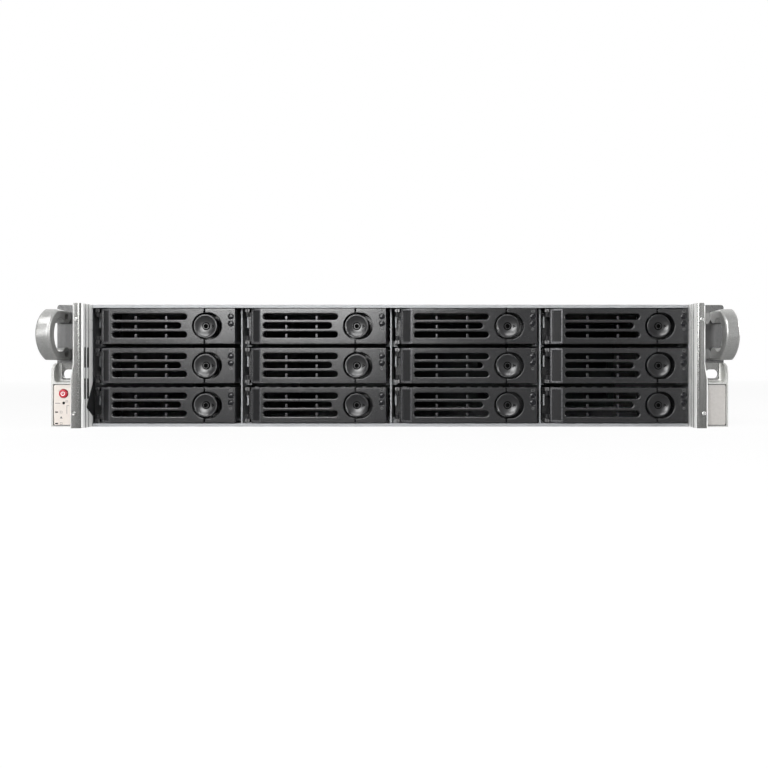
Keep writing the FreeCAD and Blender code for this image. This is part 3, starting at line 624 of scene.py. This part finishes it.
# %% Model the button
button_front = face_front - 0.5
button = peg("button", disc_radius, disc_x, 0, button_front, button_front + 3.4, 56)
rim_steps = ((0.25, 0), (0.55, 0), (0.30, -0.40))
dish_steps = ((0.9, -0.40), (1.0, -0.36), (1.0, -0.28), (1.0, -0.18), (0.5, -0.05))
groove_steps = ((0.06, -0.90), (0.64, 0), (0.06, 1.50))
step_in(button, rim_steps + dish_steps + groove_steps)
round_edges(button, 0.3, 2, lambda a, b: both_at(a.y, b.y, button_front)
            and math.hypot(a.x - disc_x, a.z) > disc_radius - 0.1)
carve(button, peg("key", 1.75, disc_x, 0, button_front - 1, button_front + 2.6, 6))
stem = peg("stem", stem_radius, disc_x, 0, button_front + 3.2, carrier_y[1], 28)
arrow_x, arrow_back = disc_x + 4.8, button_front + 1.9


def arrow_bar(radius):
    """A three-sided bar along Y that points to the right."""
    piece = peg("arrow", radius, arrow_x, 0, button_front + 0.2, arrow_back, 3)
    bpy.ops.transform.rotate(value=math.radians(-90), orient_axis="Y", center_override=(arrow_x * mm, 0, 0))
    bpy.ops.object.transform_apply()
    return piece


carve(button, carve(arrow_bar(1.5), arrow_bar(0.4)))
gather(shade(button), soften(stem, 0.2))
dress(button, button_black)


def painted_shade_mask(middle, normal):
    """True in the key socket, in the groove round it and in the arrow, which are painted black as shade."""
    off_centre = math.hypot(middle.x - disc_x, middle.z)
    in_key = off_centre < 1.7 and button_front + 1.15 < middle.y < button_front + 2.7
    in_groove = 2.1 < off_centre < 2.95 and middle.y > button_front + 1.1
    in_arrow = 3.4 < off_centre < 6.6 and abs(middle.y - arrow_back) < 0.03
    return in_key or in_groove or in_arrow


# The key socket, the groove round the boss and the arrow's groove are painted near-black as shade.
paint(button, black_painted_shade, painted_shade_mask)
print("button:", len(button.data.polygons), "faces")

# %% [markdown]
# ### Bezel and bulkhead
# The bezel is the fixed right end of the face: a block with the pocket that the button
# swings out of and two small round windows for the tray's lamps. The bulkhead behind the
# lever closes the tray off, with one long opening for air.

# %% Model the bezel
bezel = block("bezel", (bezel_left, face_right), (face_front, bulkhead[0]), (-half_face, half_face))
pocket = slot_bar(disc_x - hole_radius - hole_rim, disc_x + hole_relief + hole_radius + hole_rim, 0,
                  2 * (hole_radius + hole_rim), *mouth, 64)
carve(bezel, flare(pocket, hole_rim, 20))
lamp_x, lamp_heights, lamp_radius, lamp_rim = 99.8, (6.9, 1.8), 2.1, 0.3
for height in lamp_heights:
    hole = peg("lamp_hole", lamp_radius + lamp_rim, lamp_x, height, *mouth)
    carve(bezel, flare(hole, lamp_rim, 0.9))
soften(bezel, 0.3, 2, 55)
back_plate = block("back_plate", (sled_left, sled_right), bulkhead, (-half_face, half_face))
carve(back_plate, block("air", (13, 70), (10, 16), (-9.5, 9.5)))
tray_front = gather(bezel, soften(back_plate, 0.3))
dress(tray_front, tray_black)
print("tray front:", len(tray_front.data.polygons), "faces")

# %% [markdown]
# ### Lamp windows and marks
# Each window is a dark lens with a shallow dome, so that it holds one small highlight. Above
# and below them are plain little printed marks: a square and a ring.

# %% Model the windows
lens_steps = ((0.45, 0.20), (0.60, 0.14), (0.50, 0.04))
lenses = []
for height in lamp_heights:
    lens = peg("lens", lamp_radius - 0.15, lamp_x, height, face_front + 0.45, face_front + 1.2, 28)
    lenses.append(shade(step_in(lens, lens_steps)))
windows = gather(*lenses)
dress(windows, lens_dark)

mark_y, ring_z = (face_front - 0.03, face_front + 0.1), -2.2
square = block("square", (lamp_x - 1.1, lamp_x + 1.1), mark_y, (9.9, 11.7))
carve(square, block("inner", (lamp_x - 0.8, lamp_x + 0.8), (-5, 5), (10.2, 11.4)))
ring = peg("ring", 0.95, lamp_x, ring_z, *mark_y, 20)
carve(ring, peg("inner", 0.6, lamp_x, ring_z, -5, 5, 20))
marks = gather(square, ring)
dress(marks, icon_grey)
print("windows:", len(windows.data.polygons), "faces, marks:", len(marks.data.polygons))

# %% [markdown]
# ### Sled
# Two steel side rails and a strap hold the drive. The hinge posts, a leaf spring in the
# hinge recess and a row of contact fingers along the top are steel too.

# %% Model the sled
rail_y, rail_z = (bulkhead[1], sled_back), (-12.97, 1.03)
left_inside, right_inside = sled_left + sheet, sled_right - sheet
strap_y, strap_z = (sled_back - 10, sled_back), (rail_z[0], rail_z[0] + sheet)
spring_y, post_right, post_front = (7.8, 8.1), 3.4, 1.4
sled = soften(block("sled", (sled_left, left_inside), rail_y, rail_z), 0.2)
others = [block("right_rail", (right_inside, sled_right), rail_y, rail_z),
          block("strap", (left_inside, right_inside), strap_y, strap_z),
          block("spring", (-0.2, 0.9), spring_y, (-0.7, 7.6))]
for sign in (-1, 1):
    low, high = sorted((sign * 10.3, sign * half_face))
    post = block("post", (0.2, post_right), (post_front, bulkhead[0]), (low, high))
    slice_off(post, (post_right, post_front, 0), (-0.12, -1, 0))
    others.append(carve(post, block("split", (1.55, 1.95), (0, 2.4), (low - 1, high + 1))))
first_finger, finger_pitch, finger_width, finger_count = 5.5, 7.9, 2.7, 12
finger_y, finger_z = (7.5, 12.2), (half_face - 0.3, half_face + 0.25)
for index in range(finger_count):
    left = first_finger + index * finger_pitch
    others.append(block("finger", (left, left + finger_width), finger_y, finger_z))
for piece in others:
    soften(piece, 0.12)
gather(sled, *others)
dress(sled, bright_steel)
paint(sled, zinc_steel,
      lambda middle, normal: middle.x < 1 and spring_y[0] - 0.1 < middle.y < spring_y[1] + 0.1)
# The contact fingers and the hinge posts get the darker steel: painted shade for the gap between rows and for
# the hinge recess.
paint(sled, steel_painted_shade, lambda middle, normal: middle.z > half_face - 0.4 and middle.x > 4
      or abs(middle.z) > 10.2 and middle.x < 3.6 and 1 < middle.y < 12.1)
print("sled:", len(sled.data.polygons), "faces")

# %% [markdown]
# ### Twelve copies
# Columns are numbered from the left and rows from the top. The place of each bay is read
# from its CAD button, so the copies sit exactly where the joints expect them.

# %% Copy the bay into every place
bay_pieces = ((lever, "lever", "lever", "tray_black", True),
              (button, "button", "button", "button_black", True),
              (tray_front, "tray", "tray", "tray_black", True),
              (windows, "lamp_windows", "tray", "tray_black", False),
              (marks, "lamp_marks", "tray", "tray_black", False),
              (sled, "sled", "tray", "zinc_steel", False))
for pattern in [row[0] for row in bay_pieces]:
    true_flats(pattern)
for column in (1, 2, 3, 4):
    for row in (1, 2, 3):
        place = "_%d%d" % (column, row)
        low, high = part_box("button" + place)
        middle = (low + high) / 2 / mm
        shift = (middle.x - disc_x, rack_y, middle.z)
        for pattern, name, body, slot, stands_for in bay_pieces:
            copy = copy_of(pattern, name + place + "_look", shift)
            fit(copy, body + place, slot, *([name + place] if stands_for else []))
for pattern in [row[0] for row in bay_pieces]:
    bpy.data.objects.remove(pattern)
print("bays filled: 12")

# %% [markdown]
# ## Rack ears
# Each ear is a drawn rail with a rounded nose ahead of a flat flange. The rail's outer
# edge steps outwards towards the foot, and two grooves run up its inner wall. The right ear
# is modelled and the left one mirrored, before the left one gets its sunk cable slots.

# %% Model the right ear
rail_inner, rail_outer = 215.5, 222.4
rail_front = rack_y - 13.5
foot_top, foot_step, tab_gauge = 34, 1.7, 1.6
slot_left, slot_right, slot_middle, slot_height = 227.55, 237.55, 38.1, 6.4
groove_spans = ((rack_y - 10.4, rack_y - 8.3), (rack_y - 6.9, rack_y - 4.5))
ear_rail = block("ear_rail", (rail_inner, rail_outer), (rail_front, rack_y + 0.2), (0, unit_height))
for edge_x, radius in ((rail_inner, 3.0), (rail_outer, 1.4)):
    round_edges(ear_rail, radius, 8, lambda a, b: both_at(a.y, b.y, rail_front) and both_at(a.x, b.x, edge_x))
for height in (foot_top, foot_top + 11):
    slice_off(ear_rail, (0, 0, height), (0, 0, 1), keep_both=True)
select_points(ear_rail, lambda p: p.x > rail_outer - 1.3 and p.z < foot_top + 0.1)
bpy.ops.transform.translate(value=(foot_step * mm, 0, 0))
enter("OBJECT")
for groove in groove_spans:
    carve(ear_rail, block("groove", (rail_inner - 1, rail_inner + 0.5), groove, (-1, 90)))
seam_y = (rack_y - 9.5, rack_y + 1)
for height in (76.5, 69.4):
    carve(ear_rail, block("seam", (rail_inner - 1, rail_inner + 0.4), seam_y, (height, height + 0.5)))
soften(ear_rail, 0.3, 2, 50)


def flange_plate():
    """The flat plate behind the rail, with its rack slot."""
    plate = block("flange", (half_chassis, half_rack), (rack_y, rack_y + 2.5), (0, unit_height))
    round_edges(plate, 2.0, 5, lambda a, b: min(a.x, b.x) > half_rack - 0.01 and abs(a.z - b.z) < 0.01)
    carve(plate, slot_bar(slot_left, slot_right, slot_middle, slot_height, rack_y - 1, rack_y + 4))
    return soften(plate, 0.35, 2, 50)


side_tab = block("side_tab", (half_chassis, half_chassis + tab_gauge), (rack_y + 2.4, rack_y + 42.5), (6, 82))
ear = gather(ear_rail, flange_plate(), soften(side_tab, 0.4))
dress(ear, satin_grey)
# The flange's front gets the darker satin as painted shade, for the shadow that the handle casts on it.
paint(ear, satin_painted_shade, lambda middle, normal: front_at(middle, normal, rack_y))
# The inner wall with the edge of the nose, and the outer rounded edge, get the lighter satin as a painted
# highlight.
paint(ear, satin_painted_highlight, lambda middle, normal: normal.x < -0.65 and middle.x < rail_inner + 3
      or normal.x > 0.2 and normal.y < -0.2 and middle.y < rail_front + 1.6)
print("ear:", len(ear.data.polygons), "faces")


# %% Mirror it for the left
def mirrored_copy(piece, name):
    """A copy on the other side, with its faces turned outwards again."""
    copy = copy_of(piece, name, (0, 0, 0))
    copy.scale.x = -1
    bpy.ops.object.transform_apply()
    enter("EDIT")
    bpy.ops.mesh.select_all(action="SELECT")
    bpy.ops.mesh.normals_make_consistent(inside=False)
    enter("OBJECT")
    return copy


ear.name = "right_ear_look"
left_ear = mirrored_copy(ear, "left_ear_look")
half_cable_slot = 7.25
for height in (49.8, 27.6):
    for groove in groove_spans:
        carve(left_ear, block("cable_slot", (-rail_inner - 2.8, -rail_inner + 1), groove,
                              (height - half_cable_slot, height + half_cable_slot)))
fit(ear, "chassis", "satin_grey", "right_ear")
fit(left_ear, "chassis", "satin_grey", "left_ear")
print("ears:", left_ear.name, ear.name)

# %% [markdown]
# ### Rivets and a black wedge
# Two small domed rivets show on the nose of each rail. A thin black wedge lies flat against the inner wall of
# the left rail.

# %% Model the rivets and the wedge
rivet_steps = ((0.45, 0.22), (0.35, -0.25))
rivet_front = rail_front - 0.3
rivets = []
for sign in (-1, 1):
    for x, height in ((219.6, 76.4), (221.0, 10.3)):
        head = peg("rivet", 1.4, sign * x, height, rivet_front, rivet_front + 2.0, 24)
        rivets.append(shade(step_in(head, rivet_steps)))
rivets = gather(*rivets)
rivets.name = "rail_rivets"
fit(dress(rivets, screw_steel), "chassis", "screw_steel")

wedge_front = rack_y - 7.5
wedge = block("black_wedge", (-rail_inner + 0.02, -rail_inner + 0.34), (wedge_front, rack_y + 2), (8, 36))
slice_off(wedge, (0, wedge_front, 15), (0, -21, 9.5))
slice_off(wedge, (0, wedge_front, 14), (0, -5, -6))
fit(dress(soften(wedge, 0.1), matte_black_and_shade), "chassis", "tray_black")
print("rivets and tongue fitted")

# %% [markdown]
# ## Handles
# A handle is one casting: a bow with two straight legs and a boss with a screw hole on each
# leg. A round bar sliced on three sides has that outline. A smaller one cut the same way takes
# the middle out, after the bosses are taken out of it, so they are left standing in the
# casting. The same casting serves both sides, so it is copied, not mirrored.

# %% Model a handle
handle_width, handle_middle = 9.8, 65.75
handle_left = half_rack - handle_width
boss_y, boss_heights = rack_y - 4.5, (52.5, 79.0)


def bow(radius, centre, half_height, x):
    """A bar across X, cut flat above, below and at the rack plane."""
    start, end = [(side, rack_y + centre, handle_middle) for side in x]
    piece = bar("bow", radius, start, end, 96)
    slice_off(piece, (0, 0, handle_middle + half_height), (0, 0, 1))
    slice_off(piece, (0, 0, handle_middle - half_height), (0, 0, -1))
    return slice_off(piece, (0, rack_y, 0), (0, 1, 0))


handle = bow(20.25, -4.75, 17.75, (handle_left, half_rack))
round_edges(handle, 1.9, 4, lambda a, b: abs(a.x - b.x) < 0.01 and min(a.y, b.y) < rack_y - 0.1)
opening = bow(17.59, -1.41, 11.75, (handle_left - 1, half_rack + 1))
for height in boss_heights:
    carve(opening, bar("boss", 4.5, (handle_left - 2, boss_y, height), (half_rack + 2, boss_y, height), 40))
carve(handle, opening)
for height in boss_heights:
    start, end = [(half_rack + shift, boss_y, height) for shift in (-4, 1)]
    carve(handle, bar("screw_hole", 2.3, start, end, 28))
soften(handle, 0.8, 3, 45)
dress(handle, cast_silver)
handle.name = "right_handle_look"
left_handle = copy_of(handle, "left_handle_look", (handle_width - 2 * half_rack, 0, 0))
fit(handle, "chassis", "cast_silver", "right_handle")
fit(left_handle, "chassis", "cast_silver", "left_handle")
print("handle:", len(handle.data.polygons), "faces")

# %% [markdown]
# ## Blocks at the foot of the ears
# Each block is a casting with a flat front and an outer wall with a round shoulder. Behind that
# wall is a pocket with round corners, cut with a box whose edges are bevelled, and the rack
# slot opens in it. A plate is set into the front: the left one carries the power button,
# a pinhole and two light slits, and the right one is bare.

# %% Model the right block
block_front, block_top = rack_y - 6.5, 46
pocket_side, pocket_back, pocket_floor = 239.3, rack_y - 0.6, 32
plate_x, plate_z, plate_edge = (225.6, 240.1), (1.2, 30.8), 0.5
recess_back = block_front + 0.6


def pocket_corner(a, b):
    """True for an edge where two of the pocket's three walls meet."""
    walls = ((a.x, b.x, pocket_side), (a.y, b.y, pocket_back), (a.z, b.z, pocket_floor))
    return sum(both_at(*wall) for wall in walls) == 2


foot = block("foot", (225, 241.3), (block_front, rack_y), (0.4, block_top))
round_edges(foot, 6.2, 10, lambda a, b: both_at(a.z, b.z, block_top) and both_at(a.y, b.y, block_front))
pocket = block("pocket", (215, pocket_side), (block_front - 20, pocket_back), (pocket_floor, 60))
carve(foot, round_edges(pocket, 2.4, 6, pocket_corner))
carve(foot, slot_bar(slot_left, slot_right, slot_middle, slot_height, rack_y - 3, rack_y + 1))
carve(foot, block("recess", plate_x, (block_front - 1, recess_back), plate_z))
soften(foot, 0.45, 3, 40)
dress(foot, cast_light)
paint(foot, satin_grey, lambda middle, normal: front_at(middle, normal, pocket_back))
# The floor of the plate's recess is painted black as shade, so that a dark line shows round the plate.
paint(foot, matte_black_and_shade, lambda middle, normal: front_at(middle, normal, recess_back))
foot.name = "right_block_look"
left_foot = mirrored_copy(foot, "control_block_look")

plate_front = block_front + 0.1
plate = block("right_plate", (plate_x[0] + plate_edge, plate_x[1] - plate_edge), (plate_front, recess_back),
              (plate_z[0] + plate_edge, plate_z[1] - plate_edge))
round_edges(plate, 1.2, 4, lambda a, b: abs(a.y - b.y) > 0.1)
left_plate = mirrored_copy(plate, "control_plate")
soften(plate, 0.15)
dress(plate, plate_grey)
print("blocks:", foot.name, left_foot.name)

# %% Cut the controls into the left block
power_x, power_z, pinhole_z = -232.6, 24.1, 17.3
for piece in (left_foot, left_plate):
    carve(piece, peg("button_hole", 3.3, power_x, power_z, block_front - 1, block_front + 3.7, 36))
    carve(piece, peg("pinhole", 1.0, power_x, pinhole_z, block_front - 1, block_front + 3, 20))
soften(left_plate, 0.15)
dress(left_plate, control_plastic)
# The pinhole's walls are painted black as shade.
paint(left_foot, matte_black_and_shade,
      lambda middle, normal: math.hypot(middle.x - power_x, middle.z - pinhole_z) < 1.1)
fit(foot, "chassis", "cast_silver", "right_block")
fit(left_foot, "chassis", "cast_silver", "control_block")
fit(plate, "chassis", "satin_grey")
fit(left_plate, "chassis", "control_plastic")
print("controls cut at x =", power_x, "mm")

# %% [markdown]
# ### Power button, light slits and small signs
# The button is a red cap with a white ring and bar sunk flush into it, the usual power sign.
# The light slits are dark lenses. The signs beside them are plain shapes without words.

# %% Model the controls
cap_front = block_front - 0.8
cap = peg("power_button_look", 3.0, power_x, power_z, cap_front, cap_front + 3, 40)
soften(cap, 0.35, 3)
cap_stem = peg("cap_stem", 1.0, power_x, power_z, cap_front + 2.9, cap_front + 5.7, 20)
gather(cap, shade(cap_stem))
fit(dress(cap, red_plastic), "power_button", "red_plastic", "power_button")

through = (-400, 400)
sign_y = (cap_front - 0.02, cap_front + 0.2)
sign = peg("power_sign", 1.55, power_x, power_z, *sign_y, 36)
carve(sign, peg("inner", 1.05, power_x, power_z, sign_y[0] - 1, sign_y[1] + 1, 36))
carve(sign, block("gap", (power_x - 0.55, power_x + 0.55), through, (power_z + 0.5, power_z + 3)))
stroke = block("stroke", (power_x - 0.25, power_x + 0.25), sign_y, (power_z + 0.1, power_z + 1.75))
fit(dress(gather(sign, stroke), icon_white), "power_button", "control_plastic")

slit_y, slit_heights = (plate_front - 0.05, plate_front + 0.3), (10.9, 2.7)
slits = [block("slit", (-238.7, -236.5), slit_y, (height - 0.5, height + 0.5)) for height in slit_heights]
light_slits = gather(*[soften(slit, 0.15) for slit in slits])
light_slits.name = "light_slits"
fit(dress(light_slits, lens_dark), "chassis", "control_plastic")

sign_face = (plate_front - 0.03, plate_front + 0.1)
sign_x, right_sign_x = -234.3, -230.4


def outline_sign(x, z, half, edge=0.2):
    """A small square outline printed on the control plate."""
    outer = block("sign", (x - half, x + half), sign_face, (z - half, z + half))
    hollow = half - edge
    return carve(outer, block("inner", (x - hollow, x + hollow), through, (z - hollow, z + hollow)))


signs = [outline_sign(sign_x, height, 0.8) for height in slit_heights]
signs.append(outline_sign(right_sign_x, 18.6, 0.7))
signs.append(block("dash", (-238.6, -234.9), sign_face, (17.0, 17.4)))
signs.append(block("tall_dash", (right_sign_x, right_sign_x + 0.3), sign_face, (9.6, 15.6)))
signs.append(block("low_dash", (right_sign_x, right_sign_x + 1.8), sign_face, (15.3, 15.6)))
signs.append(peg("triangle", 1.2, sign_x, 6.9, *sign_face, 3))
control_signs = gather(*signs)
control_signs.name = "control_signs"
fit(dress(control_signs, icon_grey), "chassis", "control_plastic")
print("control signs:", len(control_signs.data.polygons), "faces")

# %% [markdown]
# ## Screws
# The case is held by pan-head screws: a round head with a soft edge and a cross recess. One
# is modelled along Y and copied; those on the sides are turned first.

# %% Model and place the screws
screw_head = bar("screw_head", 2.6, (0, 0, 0), (0, 1.3, 0), 32)
round_edges(screw_head, 0.6, 3, lambda a, b: min(a.y, b.y) > 1.29)
carve(screw_head, block("cross_bar", (-1.5, 1.5), (0.6, 2), (-0.3, 0.3)))
carve(screw_head, block("cross_post", (-0.3, 0.3), (0.6, 2), (-1.5, 1.5)))
shade(screw_head)
heads = []
for x in (-209.8, 134.1):
    for z in (9.2, 78.8):
        heads.append(copy_of(screw_head, "screw", (x, rear_y, z)))
for side, turn in ((1, -90), (-1, 90)):
    turned = copy_of(screw_head, "turned", (0, 0, 0))
    turned.rotation_euler.z = math.radians(turn)
    bpy.ops.object.transform_apply()
    for z in (18, 70):
        heads.append(copy_of(turned, "screw", (side * (half_chassis + tab_gauge), rack_y + 24, z)))
    bpy.data.objects.remove(turned)
bpy.data.objects.remove(screw_head)
screws = gather(*heads)
screws.name = "screws_look"
fit(dress(screws, screw_steel), "chassis", "screw_steel", "screws")
print("screws:", len(heads))

# %% [markdown]
# ## Power supplies
# Two equal modules slide in from the back. Each has a row of vents, a sunk mains inlet with
# three blades and a bail to pull it by. One is modelled in the lower place and copied upwards.

# %% Model a module
low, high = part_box("psu_lower")
psu_left, psu_right = low.x / mm, high.x / mm
psu_middle = (low.z + high.z) / 2 / mm
module = block("module", (psu_left, psu_right), (low.y / mm, rear_y), (low.z / mm, high.z / mm))
inlet_left, inlet_right = psu_right - 34, psu_right - 10
vent_y, vent_pitch = (rear_y - 6, rear_y + 1), 4.4
latch_x, latch_y = (psu_right - 7.7, psu_right - 0.6), (rear_y - 10.3, rear_y + 1)


def around(half):
    """A span of the module's height, the same way up and down from its middle."""
    return (psu_middle - half, psu_middle + half)


carve(module, block("inlet", (inlet_left, inlet_right), (rear_y - 16, rear_y + 1), around(8.5)))
for step in range(-3, 4):
    carve(module, slot_bar(psu_left + 18, psu_left + 37, psu_middle + vent_pitch * step, 2.2, *vent_y, 16))
carve(module, block("latch_way", latch_x, latch_y, around(6.3)))
dress(soften(module, 0.5, 2, 50), zinc_steel)
# The floors of the vent slots are painted black as shade, for the dark inside behind the vents.
paint(module, matte_black_and_shade,
      lambda middle, normal: abs(middle.y - vent_y[0]) < 0.1 and middle.x < psu_left + 40)
print("module:", len(module.data.polygons), "faces")

# %% Model its bail and its inlet
bail_back, bail_gauge = rear_y + 22, 3
hole_back = bail_back - bail_gauge
bail = block("bail", (psu_left + 3, psu_left + 15), (rear_y, bail_back), around(15))
grip_hole = block("grip_hole", (psu_left, psu_left + 20), (rear_y - 1, hole_back), around(15 - bail_gauge))
for piece, back, radius in ((bail, bail_back, 6), (grip_hole, hole_back, 3.5)):
    round_edges(piece, radius, 6, lambda a, b: min(a.y, b.y) > back - 0.01 and abs(a.x - b.x) > 1)
carve(bail, grip_hole)
dress(soften(bail, 0.7, 3, 40), panel_black)

inlet = block("inlet", (inlet_left + 0.2, inlet_right - 0.2), (rear_y - 15.8, rear_y + 0.6), around(8.3))
well = block("well", (inlet_left + 2, inlet_right - 2), (rear_y - 14, rear_y + 2), around(6.3))
round_edges(well, 2.6, 1, lambda a, b: abs(a.y - b.y) > 1 and max(a.z, b.z) > psu_middle)
carve(inlet, well)
dress(soften(inlet, 0.4, 2, 40), panel_black)
blade_pitch = 6.7
blades = []
for step, rise in ((-1, -3.4), (0, 1.7), (1, -3.4)):
    x, z = (inlet_left + inlet_right) / 2 + blade_pitch * step, psu_middle + rise
    blade = block("blade", (x - 1, x + 1), (rear_y - 14.2, rear_y - 5), (z - 2, z + 2))
    blades.append(soften(blade, 0.5, 2))
blades = dress(gather(*blades), bright_steel)
lift = (0, 0, (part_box("psu_upper")[0].z - low.z) / mm)
for pattern, name, slot in ((module, "module", "zinc_steel"), (bail, "bail", "tray_black"),
                            (inlet, "inlet", "tray_black"), (blades, "blades", "zinc_steel")):
    upper = copy_of(pattern, "psu_upper_" + name, lift)
    pattern.name = "psu_lower_" + name
    for piece, body in ((pattern, "psu_lower"), (upper, "psu_upper")):
        fit(piece, body, slot, *([body] if name == "module" else []))
print("power supplies: 2")

# %% [markdown]
# ## Ports
# Each port at the back is a bright steel cage that pokes through the panel, with two sockets
# and a black connector deep in each of them.

# %% Model the ports
cage_width, socket_width = 40, 16.5
cages, connectors = [], []
for left in (-130, -70):
    cage = block("cage", (left - 0.15, left + cage_width + 0.15), (rear_y - 12, rear_y + 0.8), (8.65, 21.95))
    for start in (left + 2.5, left + 21):
        end = start + socket_width
        carve(cage, block("socket", (start, end), (rear_y - 20, rear_y + 5), (10.8, 19.8)))
        connector = block("connector", (start + 0.4, end - 0.4), (rear_y - 28, rear_y - 9), (11.2, 19.4))
        carve(connector, block("mouth", (start + 2, end - 2), (rear_y - 16, rear_y - 5), (14.2, 16.4)))
        connectors.append(soften(connector, 0.3))
    cages.append(soften(cage, 0.35, 2))
cages = dress(gather(*cages), bright_steel)
cages.name = "port_cages"
connectors = dress(gather(*connectors), panel_black)
connectors.name = "port_connectors"
fit(cages, "chassis", "zinc_steel")
fit(connectors, "chassis", "tray_black")
print("ports:", cages.name, connectors.name)

# %% [markdown]
# ## Case, boards and fans
# The folded sheets and boxes of the case have the right shape in the CAD already, so those
# nodes stay and only get a finish.

# %% Finishes for the CAD nodes
sheet_nodes = ("chassis_base", "front_cover", "top_cover", "bay_dividers", "rear_panel", "psu_cage")
board_nodes = ("backplane", "expander_board")
fan_nodes = ("fan_wall", "fan_rotor_1", "fan_rotor_2", "fan_rotor_3")
latch_nodes = ("psu_lower_latch", "psu_upper_latch")
for names, finish in ((sheet_nodes, zinc_steel), (board_nodes, circuit_green),
                      (fan_nodes, fan_plastic), (latch_nodes, latch_plastic)):
    for name in names:
        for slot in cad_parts[name].material_slots:
            slot.material = finish
    print(finish.name, "on", len(names), "nodes")
